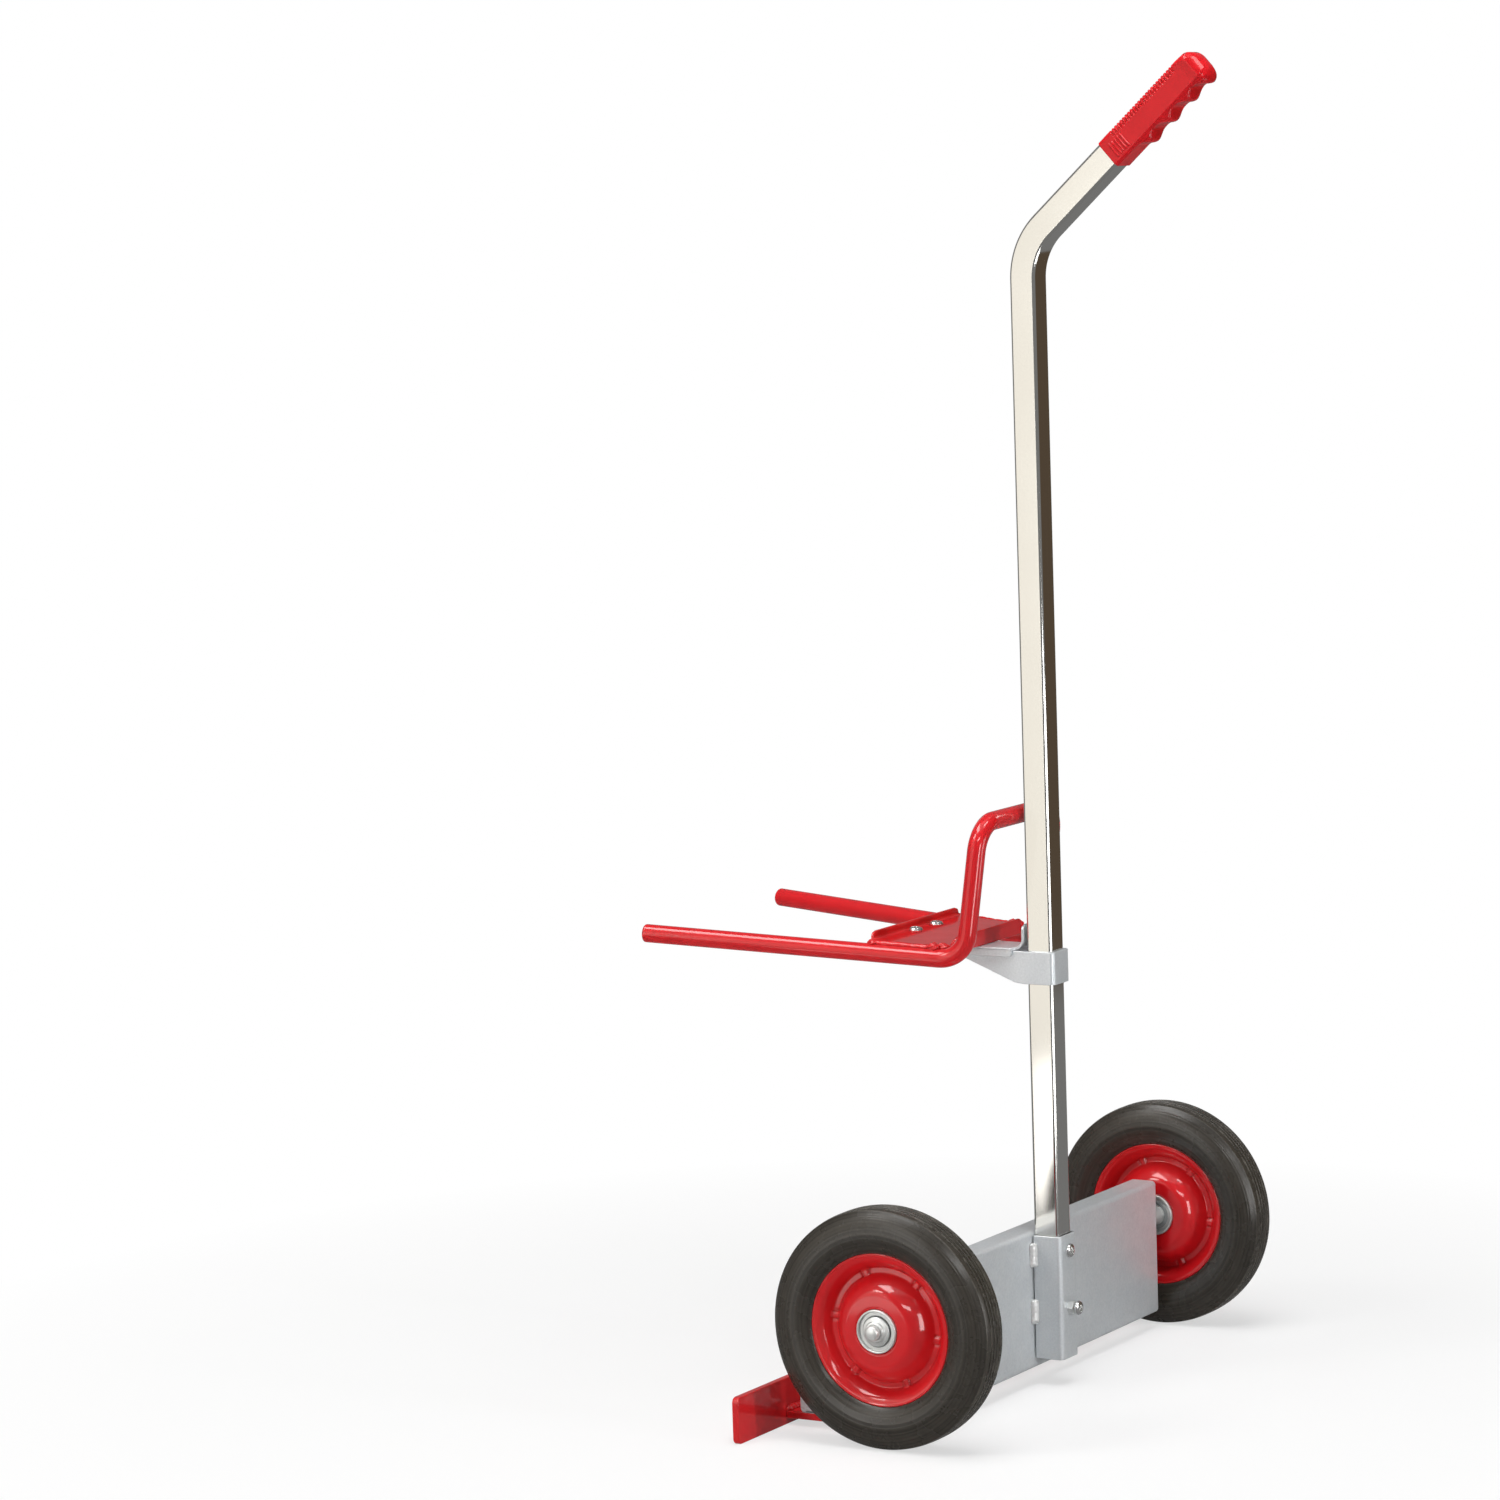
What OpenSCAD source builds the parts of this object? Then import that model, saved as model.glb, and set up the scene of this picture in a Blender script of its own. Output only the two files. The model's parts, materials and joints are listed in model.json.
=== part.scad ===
// Two-wheel trolley that lifts and rolls a stack of chairs, in millimetres.
// X runs along the axle, -Y points at the load, +Y at the user and Z up.
// The origin is the middle of the toe bar's floor face.

/* [Tyres] */
// Diameter of a tyre
tyre_d = 203.2; // [196:0.1:212]
// Greatest width of a tyre
tyre_w = 41; // [38:0.5:44]
// Diameter at which a tyre is widest
tyre_bulge_d = 164; // [158:0.5:170]
// Width of the flat tread
tread_w = 24.4; // [22:0.1:28]
// Number of grooves round the tread
tread_grooves = 4; // [2:1:6]
// Width of a tread groove
groove_w = 1.5; // [0.8:0.1:2]
// Depth of a tread groove
groove_depth = 1.2; // [0.5:0.1:2]

/* [Hubs] */
// Distance between the mid-planes of the wheels
track = 516; // [505:1:580]
// Diameter of the rim edge that holds the tyre
rim_d = 129; // [124:0.5:134]
// Outer diameter of the flat ring where the two discs meet
ring_d = 105; // [100:0.5:110]
// Width of that flat ring
ring_w = 6; // [4:0.5:8]
// Sheet thickness of a hub disc, along the axle
disc_t = 2; // [1:0.1:2.5]
// Diameter of the flat boss around the hub sleeve
boss_d = 57; // [48:0.5:64]
// Distance of the boss face from the wheel's mid-plane
boss_x = 19; // [15:0.5:20]
// Outer diameter of the hub sleeve
sleeve_d = 37; // [35:0.1:40]
// Wall of the hub sleeve
sleeve_wall = 2; // [1.5:0.1:2.5]
// Length of the hub sleeve
sleeve_l = 41; // [38:0.5:46]
// Width of a wheel bearing
bearing_w = 10; // [6:0.5:12]
// Depth of a bearing below the end of the hub sleeve
bearing_recess = 2.5; // [1:0.1:4]
// Diameter of a bearing ball
ball_d = 4; // [3:0.1:4.5]
// Number of balls in a bearing
ball_count = 10; // [6:1:12]

/* [Axle] */
// Distance from the middle of the toe bar to the axle
axle_y = 122.8; // [116:0.1:150]
// Diameter of the axle
axle_d = 12.7; // [11:0.1:14]
// Outer diameter of the spacer tubes beside the frame
spacer_d = 17; // [16:0.5:18]
// Length of a spacer tube, from the frame to the inner bearing
spacer_l = 14; // [8:0.5:30]
// Diameter of the push nuts on the axle ends
push_nut_d = 25; // [22:0.5:27]
// Thickness of a push nut's disc
push_nut_t = 3; // [2:0.1:4]
// Diameter of a push nut's collar
push_nut_collar_d = 17; // [16:0.5:19]
// Height of a push nut's collar above its disc
push_nut_collar_h = 2.5; // [1:0.1:4]
// Length of axle that stands out of a push nut
axle_end_l = 6; // [3:0.5:12]

/* [Frame] */
// Height of the axle channel
channel_h = 121; // [116:0.5:130]
// Depth of the axle channel, from the back of its web
channel_depth = 23.3; // [22:0.1:30]
// Distance from the axle down to the lower edge of the channel
channel_drop = 86.6; // [84:0.1:88]
// Sheet thickness of the channel and the cheeks
sheet_t = 2.5; // [1.5:0.1:3]
// Outer bend radius of the channel
channel_bend_r = 4; // [3.5:0.1:6]
// Height of a cheek at its front edge
cheek_front_h = 38; // [25:0.5:60]
// Distance from the back of the toe bar to the front edge of a cheek
cheek_setback = 14.5; // [10:0.5:25]
// Radius of a cheek's lower front corner
cheek_corner_r = 4; // [2:0.5:8]
// Width of the foot flange along the bottom of a cheek
foot_w = 26; // [22:0.5:40]

/* [Toe] */
// Length of the toe bar
toe_l = 608; // [500:1:680]
// Height of the toe bar
toe_h = 40; // [30:0.5:60]
// Thickness of the toe bar
toe_t = 6; // [4:0.5:8]
// Corner radius of the toe bar
toe_corner_r = 5; // [2:0.5:10]
// Thickness of the toe plate
toe_plate_t = 6; // [4:0.1:6.5]
// Height of the toe plate's top above the floor
toe_plate_top = 12; // [11:0.1:13]
// Depth of the toe plate, from the back of the toe bar
toe_plate_depth = 96; // [85:0.5:100]
// Leg of the weld between the toe bar and the toe plate
toe_weld_r = 4; // [2:0.5:6]

/* [Mast] */
// Width of the square mast tube
mast_w = 24; // [22:0.5:28]
// Wall of the mast tube
mast_wall = 1.6; // [1.2:0.1:2.5]
// Corner radius of the mast tube
mast_corner_r = 3; // [2.6:0.1:4]
// Height of the mast's foot above the foot of its socket
mast_foot = 2; // [1:0.5:8]
// Height at which the mast and the handle would meet in a sharp corner
mast_corner_z = 985.8; // [880:1:1100]
// Bend radius of the mast at its middle line
mast_bend_r = 60; // [45:1:90]
// Angle by which the handle leans back from the mast
mast_bend_angle = 48; // [35:1:60]
// Wall of the socket that holds the mast
socket_wall = 3; // [2:0.1:4]
// Height of the socket's foot above the lower edge of the channel
socket_rise = 9; // [6:0.5:10]
// Height of the socket
socket_h = 108.5; // [104:0.5:112]
// Outer bend radius of the socket
socket_bend_r = 4.5; // [4.2:0.1:6]
// Leg of the stitch welds beside the socket
stitch_r = 5; // [3:0.5:6]
// Length of a stitch weld
stitch_l = 20; // [12:1:28]

/* [Grip] */
// Distance from the sharp corner of the mast to the end of the grip
grip_reach = 229; // [205:1:280]
// Length of the grip
grip_l = 115.3; // [110:0.1:130]
// Wall of the grip round the mast
grip_wall = 1.2; // [1:0.1:2]
// Corner radius of the grip
grip_corner_r = 4.2; // [3:0.1:4.4]
// Thickness of the grip's closed end
grip_end_t = 6; // [3:0.5:9]
// Number of finger ridges under the grip
ridges = 3; // [2:1:3]
// Distance between finger ridges
ridge_pitch = 25; // [22:0.5:26]
// Height of a finger ridge
ridge_h = 5; // [3:0.5:7]
// Radius of a finger ridge's crest
ridge_r = 8.5; // [7.5:0.5:10]
// Length of the flange at the end of the grip
flange_l = 9; // [6:0.5:12]
// Number of fine grooves across the top of the grip
top_grooves = 24; // [10:1:24]
// Distance between those grooves
top_groove_pitch = 3.3; // [3:0.1:3.6]
// Width of those grooves
top_groove_w = 1.2; // [0.6:0.1:1.6]
// Depth of those grooves
top_groove_depth = 0.6; // [0.3:0.1:0.7]
// Distance from the foot of the grip to the first of those grooves
top_groove_first = 14; // [10:0.5:18]

/* [Carriage] */
// Height of the collar's lower edge above the floor
collar_z = 353; // [300:1:420]
// Height of the collar
collar_h = 28.5; // [24:0.5:40]
// Wall of the collar and its ears
collar_wall = 3; // [2:0.1:4]
// Running clearance between the collar and the mast
collar_gap = 0.5; // [0.3:0.05:1]
// Outer bend radius of the collar
collar_bend_r = 4; // [3.8:0.1:6]
// Reach of the ears in front of the mast
ear_reach = 70; // [60:1:74]
// Height of an ear at its tip
ear_tip_h = 4; // [3:0.5:8]
// Length of the straight lower edge in front of the mast
ear_root_l = 8; // [7:0.5:14]
// Thickness of the bar across the ears in front of the mast
bar_t = 6; // [4:0.5:7]
// Height of that bar
bar_h = 14; // [10:0.5:18]
// Sheet thickness of the table
table_t = 2.5; // [2:0.1:3]
// Depth of the flanges along the sides of the table
table_flange_h = 8; // [6:0.5:12]
// Length of those flanges
table_flange_l = 40; // [34:1:46]
// Width of the lip that is turned up in front of the mast
lip_w = 24; // [18:0.5:30]
// Height of the lip above the table
lip_h = 20; // [16:0.5:26]
// Inner bend radius of the lip
lip_bend_r = 8; // [5:0.5:10]
// Gap between the lip and the mast
lip_gap = 2.5; // [1:0.1:4]
// Width of the tongue that carries the fork
tongue_w = 60; // [58:0.5:72]
// Reach of the tongue in front of the fork's heel
tongue_reach = 84; // [83:0.5:90]

/* [Fork] */
// Diameter of the fork's round bar
rod_d = 16; // [12:0.5:18]
// Distance from the mast to the fork's heel
heel_gap = 29.6; // [28:0.1:34]
// Distance between the arms at the heel
heel_w = 138; // [120:0.5:160]
// Drop of the rod's middle line below the table at the heel
heel_drop = 4.1; // [3.4:0.1:5]
// Reach of the arms in front of the heel
arm_reach = 293; // [240:1:360]
// Angle by which each arm spreads outwards
arm_splay = 9.3; // [4:0.1:12]
// Angle by which the arms rise towards their tips
arm_pitch = 3.3; // [2:0.1:4]
// Bend radius at the heel
heel_bend_r = 26; // [20:0.5:27]
// Height of the loop's top bar above the heel
loop_h = 118.4; // [95:0.1:160]
// Distance by which the loop leans back to its top bar
loop_lean = 17.4; // [10:0.1:19]
// Bend radius at the loop's top corners
loop_bend_r = 24; // [20:0.5:38]
// Sheet thickness of the fork plate
plate_t = 2.5; // [2:0.1:3]
// Height of the fork plate's turned-up edges above the rods
plate_rim_h = 9.5; // [8:0.1:14]
// Distance from the middle line of a rod in to the side edge of the fork plate
plate_inset = 1; // [0.5:0.1:2]
// Distance from the heel to the back of the fork plate
plate_back = 13.5; // [12:0.5:18]
// Distance from the heel to where the fork plate reaches over the rods
plate_shoulder = 28; // [26:0.5:32]
// Distance from the heel to the front of the fork plate
plate_front = 88; // [87:0.5:95]
// Radius of the fork plate's front corners
plate_corner_r = 4; // [2:0.5:5]
// Distance from the heel to the fork screws
screw_reach = 76; // [68:0.5:77]
// Distance between the fork screws
screw_gauge = 37; // [34:0.5:44]
// Radius of the weld beads along the rods
bead_r = 2.6; // [2:0.1:3.5]

/* [Fasteners] */
// Diameter of the machine screws
screw_d = 6; // [5:0.1:6.5]
// Diameter of a pan head
head_d = 11; // [10:0.1:12]
// Height of a pan head
head_h = 4.2; // [3:0.1:5]
// Width of the slots in a cross recess
recess_w = 1.6; // [1:0.1:2]
// Width across the flats of a screw's nut
nut_af = 10; // [9:0.1:11]
// Height of a screw's nut
nut_h = 5; // [4:0.1:6]
// Distance from the top of the channel down to the mast bolt
mast_bolt_drop = 17.4; // [16:0.1:19]
// Height of the clamp screw above the foot of the socket
clamp_rise = 44.5; // [36:0.5:52]
// Length of clamp screw that stands out of the socket
clamp_proud = 7; // [6:0.5:12]
// Diameter of the toe plate's bolts
toe_bolt_d = 8; // [6:0.1:9]
// Width across the flats of a toe bolt's nut
toe_nut_af = 13; // [11:0.1:15]
// Height of a toe bolt's nut
toe_nut_h = 6.5; // [5:0.1:8]
// Diameter of a toe bolt's low head
toe_head_d = 16; // [13:0.1:18]
// Height of a toe bolt's low head
toe_head_h = 3; // [2:0.1:4]

/* [Hidden] */

$fn = 48;

// Paint and metal colours
red_paint = "firebrick";
grey_paint = "lightsteelblue";
chrome = "gainsboro";
zinc = "silver";
rubber = "dimgray";

// How far a cut runs past the face that it opens
overrun = 1;
// Clearance of a bolt or an axle in a fixed hole, on the radius
hole_gap = 0.1;
// Clearance between parts that are pressed or seated together
seat_gap = 0.05;
// Clearance between a tyre and its rim
tyre_gap = 0.25;
// Clearance of a bearing ball in its races
ball_gap = 0.08;
// Clearance between the mast and its socket
socket_gap = 0.4;
// Clearance between the mast and the inside of the grip
grip_gap = 0.2;
// Seam where a straight stretch runs into a bend: its opening, its half length and its swell
seam_gap = 0.1;
seam_l = 0.5;
seam_swell = 0.02;

// The axle channel fills the room between the spacers.
wheel_x = track / 2;
bearing_face = sleeve_l / 2 - bearing_recess;
channel_l = 2 * (wheel_x - bearing_face - spacer_l);

// Heights and depths of the frame
axle_z = tyre_d / 2;
web_front_y = axle_y + axle_d / 2 + seat_gap;
web_back_y = web_front_y + sheet_t;
channel_front_y = web_back_y - channel_depth;
channel_z = axle_z - channel_drop;
channel_top = channel_z + channel_h;
cheek_front_y = toe_t / 2 + cheek_setback;
cheek_step_y = channel_front_y - seat_gap;
cheek_back_y = web_front_y - seat_gap;
cheek_low_z = channel_z + sheet_t + seat_gap;
cheek_top_z = channel_top - sheet_t - seat_gap;
foot_inner_x = channel_l / 2 - foot_w;

// Mast, socket and handle
mast_front_y = web_back_y + seat_gap;
mast_y = mast_front_y + mast_w / 2;
mast_back_y = mast_front_y + mast_w;
mast_tangent = mast_bend_r * tan(mast_bend_angle / 2);
mast_bend_z = mast_corner_z - mast_tangent;
mast_end = grip_reach - grip_end_t;
socket_half = mast_w / 2 + socket_gap + socket_wall;
socket_back_y = mast_back_y + socket_gap + socket_wall;
socket_z = channel_z + socket_rise;
mast_foot_z = socket_z + mast_foot;
mast_bolt_z = channel_top - mast_bolt_drop;
clamp_z = socket_z + clamp_rise;
stitch_shares = [0.28, 0.74];
grip_w = mast_w + 2 * (grip_gap + grip_wall);
grip_foot = grip_reach - grip_l;
ridge_y = grip_w / 2 + ridge_h - ridge_r;
ridge_first = grip_l - flange_l / 2 - ridges * ridge_pitch;

// Wheels and bearings
tyre_r = tyre_d / 2;
bulge_r = tyre_bulge_d / 2;
rim_r = rim_d / 2;
// The two arcs of a tyre's side walls pass through the widest place and the edges of the tread.
bulge_rise = tyre_r - bulge_r;
arc_offset = (pow(bulge_rise, 2) + pow(tread_w / 2, 2) - pow(tyre_w / 2, 2)) / (tyre_w - tread_w);
arc_r = tyre_w / 2 + arc_offset;
rim_x = sqrt(pow(arc_r, 2) - pow(bulge_r - rim_r, 2)) - arc_offset + tyre_gap;
tyre_bore_share = 0.45;
tyre_bore_r = ring_d / 2 + (rim_r - ring_d / 2) * tyre_bore_share;
tyre_seat_r = rim_r + tyre_gap;
groove_step = tread_w / (tread_grooves + 1);
ring_in_r = ring_d / 2 - ring_w;
sleeve_bore_r = sleeve_d / 2 - sleeve_wall;
race_room = sleeve_bore_r - axle_d / 2 - 2 * seat_gap - 2 * ball_gap - ball_d;
race_wall = race_room / 2;
inner_race_r = axle_d / 2 + seat_gap;
outer_race_r = sleeve_bore_r - seat_gap;
ball_ring_r = inner_race_r + race_wall + ball_gap + ball_d / 2;
push_nut_x = wheel_x + bearing_face;
axle_half = push_nut_x + push_nut_t + push_nut_collar_h + axle_end_l;
axle_edge_share = 0.12;

// Carriage
collar_half = mast_w / 2 + collar_gap + collar_wall;
collar_back_y = mast_back_y + collar_gap + collar_wall;
collar_top = collar_z + collar_h;
table_top = collar_top + table_t;
table_half = collar_half + table_t + seat_gap;
ear_tip_y = mast_front_y - ear_reach;
ear_root_y = mast_front_y - ear_root_l;
bar_y = mast_front_y - collar_gap - bar_t;
lip_back_y = mast_front_y - lip_gap;
lip_axis_y = lip_back_y - table_t - lip_bend_r;

// Fork, in a frame that rises with the arms from the heel
heel_y = mast_front_y - heel_gap;
heel_z = table_top - heel_drop;
rod_r = rod_d / 2;
plate_low = rod_r + seat_gap;
plate_foot = heel_drop * cos(arm_pitch) - plate_back * sin(arm_pitch) + seat_gap;
plate_top = plate_low + plate_t;
plate_side = plate_front - plate_corner_r;
plate_front_half = plate_x(plate_side) - plate_corner_r;
rim_top = rod_r + plate_rim_h;
rim_corner_share = 0.8;
table_bend_y = lip_axis_y - table_flange_l;
tongue_foot = (heel_y - table_bend_y) / cos(arm_pitch);
tongue_top = heel_drop * cos(arm_pitch) - (heel_y - table_bend_y) * sin(arm_pitch);
tongue_low = tongue_top - table_t;
flange_half = heel_w / 2 - rod_r - seat_gap;
arm_tip = [heel_w / 2 + arm_reach * tan(arm_splay), heel_y - arm_reach * cos(arm_pitch),
    heel_z + arm_reach * sin(arm_pitch)];
arm_heel = [heel_w / 2, heel_y, heel_z];
loop_corner = [heel_w / 2, heel_y + loop_lean, heel_z + loop_h];
fork_path = [arm_tip, arm_heel, loop_corner, across(loop_corner), across(arm_heel), across(arm_tip)];
fork_bends = [heel_bend_r, loop_bend_r, loop_bend_r, heel_bend_r];
bead_end_share = 0.1;
bead_offset_share = 0.2;
rod_edge_share = 0.15;

// Toe bolts stand on the middle line of the foot flanges.
toe_bolt_x = channel_l / 2 - sheet_t - (foot_w - sheet_t) / 2;
toe_bolt_shares = [0.24, 0.76];
toe_plate_back = toe_t / 2 + toe_plate_depth;
foot_front_y = cheek_front_y + cheek_corner_r;
foot_back_y = min(cheek_step_y, toe_plate_back);

// The same point on the other side of the trolley
function across(p) = [-p.x, p.y, p.z];

// A vector of length one
function unit(v) = v / norm(v);

// Half-width of the middle of an arm at a distance in front of the heel
function arm_x(reach) = heel_w / 2 + reach * tan(arm_splay);

// Half-width of the fork plate there: its side edges lie on the crowns of the rods
function plate_x(reach) = arm_x(reach) - plate_inset;

// Half-width of the middle of a weld bead beside that edge
function bead_x(reach) = plate_x(reach) + bead_r * bead_offset_share;

// Places along Y of the toe bolts
function toe_bolt_y(share) = foot_front_y + (foot_back_y - foot_front_y) * share;

// Rectangle with round corners, from its lower left corner
module rounded_rect(w, h, r) {
    translate([r, 0]) square([w - 2 * r, h]);
    translate([0, r]) square([w, h - 2 * r]);
    for (x = [r, w - r], y = [r, h - r])
        translate([x, y]) circle(r);
}

// The same rectangle with its middle at the origin
module centred_rect(w, h, r) {
    translate([-w / 2, -h / 2]) rounded_rect(w, h, r);
}

// Lays an outline drawn in Y and Z along X, half to each side
module along_x(l) {
    translate([-l / 2, 0, 0]) rotate([90, 0, 90]) linear_extrude(l) children();
}

// Turns a shape that stands on Z so that it points along +X
module point_x() {
    rotate([0, 90, 0]) children();
}

// Turns a shape that stands on Z so that it points along +Y
module point_y() {
    rotate([-90, 0, 0]) children();
}

// Places a shape in a frame given by its origin and two of its axes
module in_frame(origin, ex, ey) {
    ez = cross(ex, ey);
    multmatrix([
        [ex.x, ey.x, ez.x, origin.x],
        [ex.y, ey.y, ez.y, origin.y],
        [ex.z, ey.z, ez.z, origin.z],
        [0, 0, 0, 1]
    ]) children();
}

// The frame of the handle: Z along the tube, +Y on its underside
module handle_frame() {
    translate([0, mast_y, mast_corner_z]) rotate([-mast_bend_angle, 0, 0]) children();
}

// The frame of the fork: -Y along the arms, Z square to the fork plate
module fork_frame() {
    translate([0, heel_y, heel_z]) rotate([-arm_pitch, 0, 0]) children();
}

// Both sides of the trolley
module both_sides() {
    children();
    mirror([1, 0, 0]) children();
}

// Ring that lies on XY, from its radii
module ring(outer_r, inner_r, h) {
    rotate_extrude() translate([inner_r, 0]) square([outer_r - inner_r, h]);
}

// Quarter round that fills a square corner, along Z
module fillet_weld(r, l) {
    rotate_extrude(angle = 90) square([r, l]);
}

// Places a shape that stands on Z at a point, standing along a direction
module stand_along(point, axis) {
    side = unit(cross(axis, abs(axis.z) < abs(axis.x) ? [0, 0, 1] : [1, 0, 0]));
    in_frame(point, side, cross(axis, side)) children();
}

// Round bar between two points
module straight_rod(from, to, d) {
    stand_along(from, unit(to - from)) cylinder(d = d, h = norm(to - from));
}

// Bend of a round bar at a corner between two straight stretches
module rod_bend(before, corner, after, bend_r, d) {
    way_in = unit(corner - before);
    way_out = unit(after - corner);
    turn = acos(way_in * way_out);
    inward = unit(way_out - (way_in * way_out) * way_in);
    start = corner - way_in * bend_r * tan(turn / 2);
    in_frame(start + inward * bend_r, -inward, way_in)
        rotate_extrude(angle = turn) translate([bend_r, 0]) circle(d = d);
}

// Length that a bend takes from each of its straight stretches
function bend_length(points, bends, i) =
    i == 0 || i == len(points) - 1 ? 0 :
    bends[i - 1] * tan(acos(unit(points[i] - points[i - 1]) * unit(points[i + 1] - points[i])) / 2);

// Seam between a straight stretch and a bend of a round bar
module rod_seam(point, way, d) {
    stand_along(point - way * seam_l, way) cylinder(d = d + 2 * seam_swell, h = 2 * seam_l);
}

// End stretch of a bar, from its bevelled tip to the seam of its first bend
module rod_tip(tip, seam, d) {
    edge = d * rod_edge_share;
    stand_along(tip, unit(seam - tip)) {
        cylinder(d1 = d - 2 * edge, d2 = d, h = edge);
        translate([0, 0, edge]) cylinder(d = d, h = norm(seam - tip) - edge - seam_gap);
    }
}

// Bar bent along a list of corner points, with bevelled tips
module bent_rod(points, bends, d) {
    last = len(points) - 1;
    ways = [for (i = [0 : last - 1]) unit(points[i + 1] - points[i])];
    starts = [for (i = [0 : last - 1]) points[i] + ways[i] * bend_length(points, bends, i)];
    ends = [for (i = [0 : last - 1]) points[i + 1] - ways[i] * bend_length(points, bends, i + 1)];
    rod_tip(points[0], ends[0], d);
    rod_tip(points[last], starts[last - 1], d);
    for (i = [1 : last - 2])
        straight_rod(starts[i] + ways[i] * seam_gap, ends[i] - ways[i] * seam_gap, d);
    for (i = [1 : last - 1]) {
        rod_seam(ends[i - 1], ways[i - 1], d);
        rod_bend(points[i - 1], points[i], points[i + 1], bends[i - 1], d);
        rod_seam(starts[i], ways[i], d);
    }
}

// Cross-section of the mast tube, with its wall swollen on both faces
module mast_section(swell) {
    outer = mast_w + 2 * swell;
    inner = mast_w - 2 * (mast_wall + swell);
    difference() {
        centred_rect(outer, outer, mast_corner_r + swell);
        centred_rect(inner, inner, mast_corner_r - mast_wall - swell);
    }
}

// Pan head with a cross recess on a shank that points down from the origin
module pan_screw(l) {
    edge_share = 0.45;
    dome_r = (pow(head_d / 2, 2) + pow(head_h * (1 - edge_share), 2)) / (2 * head_h * (1 - edge_share));
    translate([0, 0, -l]) cylinder(d = screw_d, h = l);
    difference() {
        union() {
            cylinder(d = head_d, h = head_h * edge_share);
            intersection() {
                translate([0, 0, head_h - dome_r]) sphere(dome_r);
                translate([0, 0, head_h * edge_share]) cylinder(d = head_d, h = head_h);
            }
        }
        for (turn = [0, 90])
            rotate(turn) translate([-head_d / 4, -recess_w / 2, head_h * edge_share])
                cube([head_d / 2, recess_w, head_h]);
    }
}

// Hexagon nut that stands on XY
module hex_nut(af, h, bore_d) {
    difference() {
        cylinder(d = af / cos(30), h = h, $fn = 6);
        translate([0, 0, -overrun]) cylinder(d = bore_d + 2 * seat_gap, h = h + 2 * overrun);
    }
}

// Channel of folded sheet that the axle lies in, open towards the load
module axle_channel() {
    back = channel_bend_r * 2;
    color(grey_paint) difference() {
        along_x(channel_l) difference() {
            translate([channel_front_y - back, channel_z])
                rounded_rect(channel_depth + back, channel_h, channel_bend_r);
            translate([channel_front_y - 2 * back, channel_z + sheet_t])
                rounded_rect(channel_depth + 2 * back - sheet_t, channel_h - 2 * sheet_t,
                    channel_bend_r - sheet_t);
            translate([channel_front_y - 2 * back, channel_z - overrun])
                square([2 * back, channel_h + 2 * overrun]);
        }
        translate([0, web_front_y - overrun, mast_bolt_z]) point_y()
            cylinder(d = screw_d + 2 * hole_gap, h = sheet_t + 2 * overrun);
    }
}

// Outline of a cheek in Y and Z, with corners cut off inside the channel's bends
module cheek_outline() {
    cut = channel_bend_r - sheet_t;
    polygon([
        [cheek_back_y, cheek_low_z + cut],
        [cheek_back_y, cheek_top_z - cut],
        [cheek_back_y - cut, cheek_top_z],
        [cheek_step_y, cheek_top_z],
        [cheek_front_y, toe_plate_top + cheek_front_h],
        [cheek_front_y, toe_plate_top + cheek_corner_r],
        [foot_front_y, toe_plate_top],
        [cheek_step_y, toe_plate_top],
        [cheek_step_y, cheek_low_z],
        [cheek_back_y - cut, cheek_low_z]
    ]);
    translate([foot_front_y, toe_plate_top + cheek_corner_r]) circle(cheek_corner_r);
}

// Cheek on the +X side, with the foot flange that is bolted to the toe plate
module cheek() {
    color(grey_paint) difference() {
        union() {
            translate([(channel_l - sheet_t) / 2, 0, 0]) along_x(sheet_t) cheek_outline();
            translate([foot_inner_x, foot_front_y, toe_plate_top])
                cube([foot_w, foot_back_y - foot_front_y, sheet_t]);
        }
        translate([channel_l / 2 - sheet_t - overrun, axle_y, axle_z]) point_x()
            cylinder(r = axle_d / 2 + seat_gap, h = sheet_t + 2 * overrun);
        for (share = toe_bolt_shares)
            translate([toe_bolt_x, toe_bolt_y(share), toe_plate_top - overrun])
                cylinder(d = toe_bolt_d + 2 * hole_gap, h = sheet_t + 2 * overrun);
    }
}

module cheek_left() {
    mirror([1, 0, 0]) cheek();
}

module cheek_right() {
    cheek();
}

// Folded socket behind the channel's web, which the mast stands in
module mast_socket() {
    depth = socket_back_y - web_back_y;
    color(grey_paint) difference() {
        translate([0, 0, socket_z]) linear_extrude(socket_h) difference() {
            translate([-socket_half, web_back_y - socket_bend_r])
                rounded_rect(2 * socket_half, depth + socket_bend_r, socket_bend_r);
            translate([-socket_half + socket_wall, web_back_y - 2 * socket_bend_r])
                rounded_rect(2 * (socket_half - socket_wall), depth + 2 * socket_bend_r - socket_wall,
                    socket_bend_r - socket_wall);
            translate([-socket_half - overrun, web_back_y - 2 * socket_bend_r])
                square([2 * (socket_half + overrun), 2 * socket_bend_r]);
        }
        translate([0, socket_back_y - socket_wall - overrun, mast_bolt_z]) point_y()
            cylinder(d = screw_d + 2 * hole_gap, h = socket_wall + 2 * overrun);
        translate([0, socket_back_y - socket_wall - overrun, clamp_z]) point_y()
            cylinder(d = screw_d + 2 * seat_gap, h = socket_wall + 2 * overrun);
    }
}

// Stitch welds in the corners between the socket and the web
module socket_welds() {
    color(zinc) both_sides() for (share = stitch_shares)
        translate([socket_half, web_back_y, socket_z + socket_h * share])
            fillet_weld(stitch_r, stitch_l);
}

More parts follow.
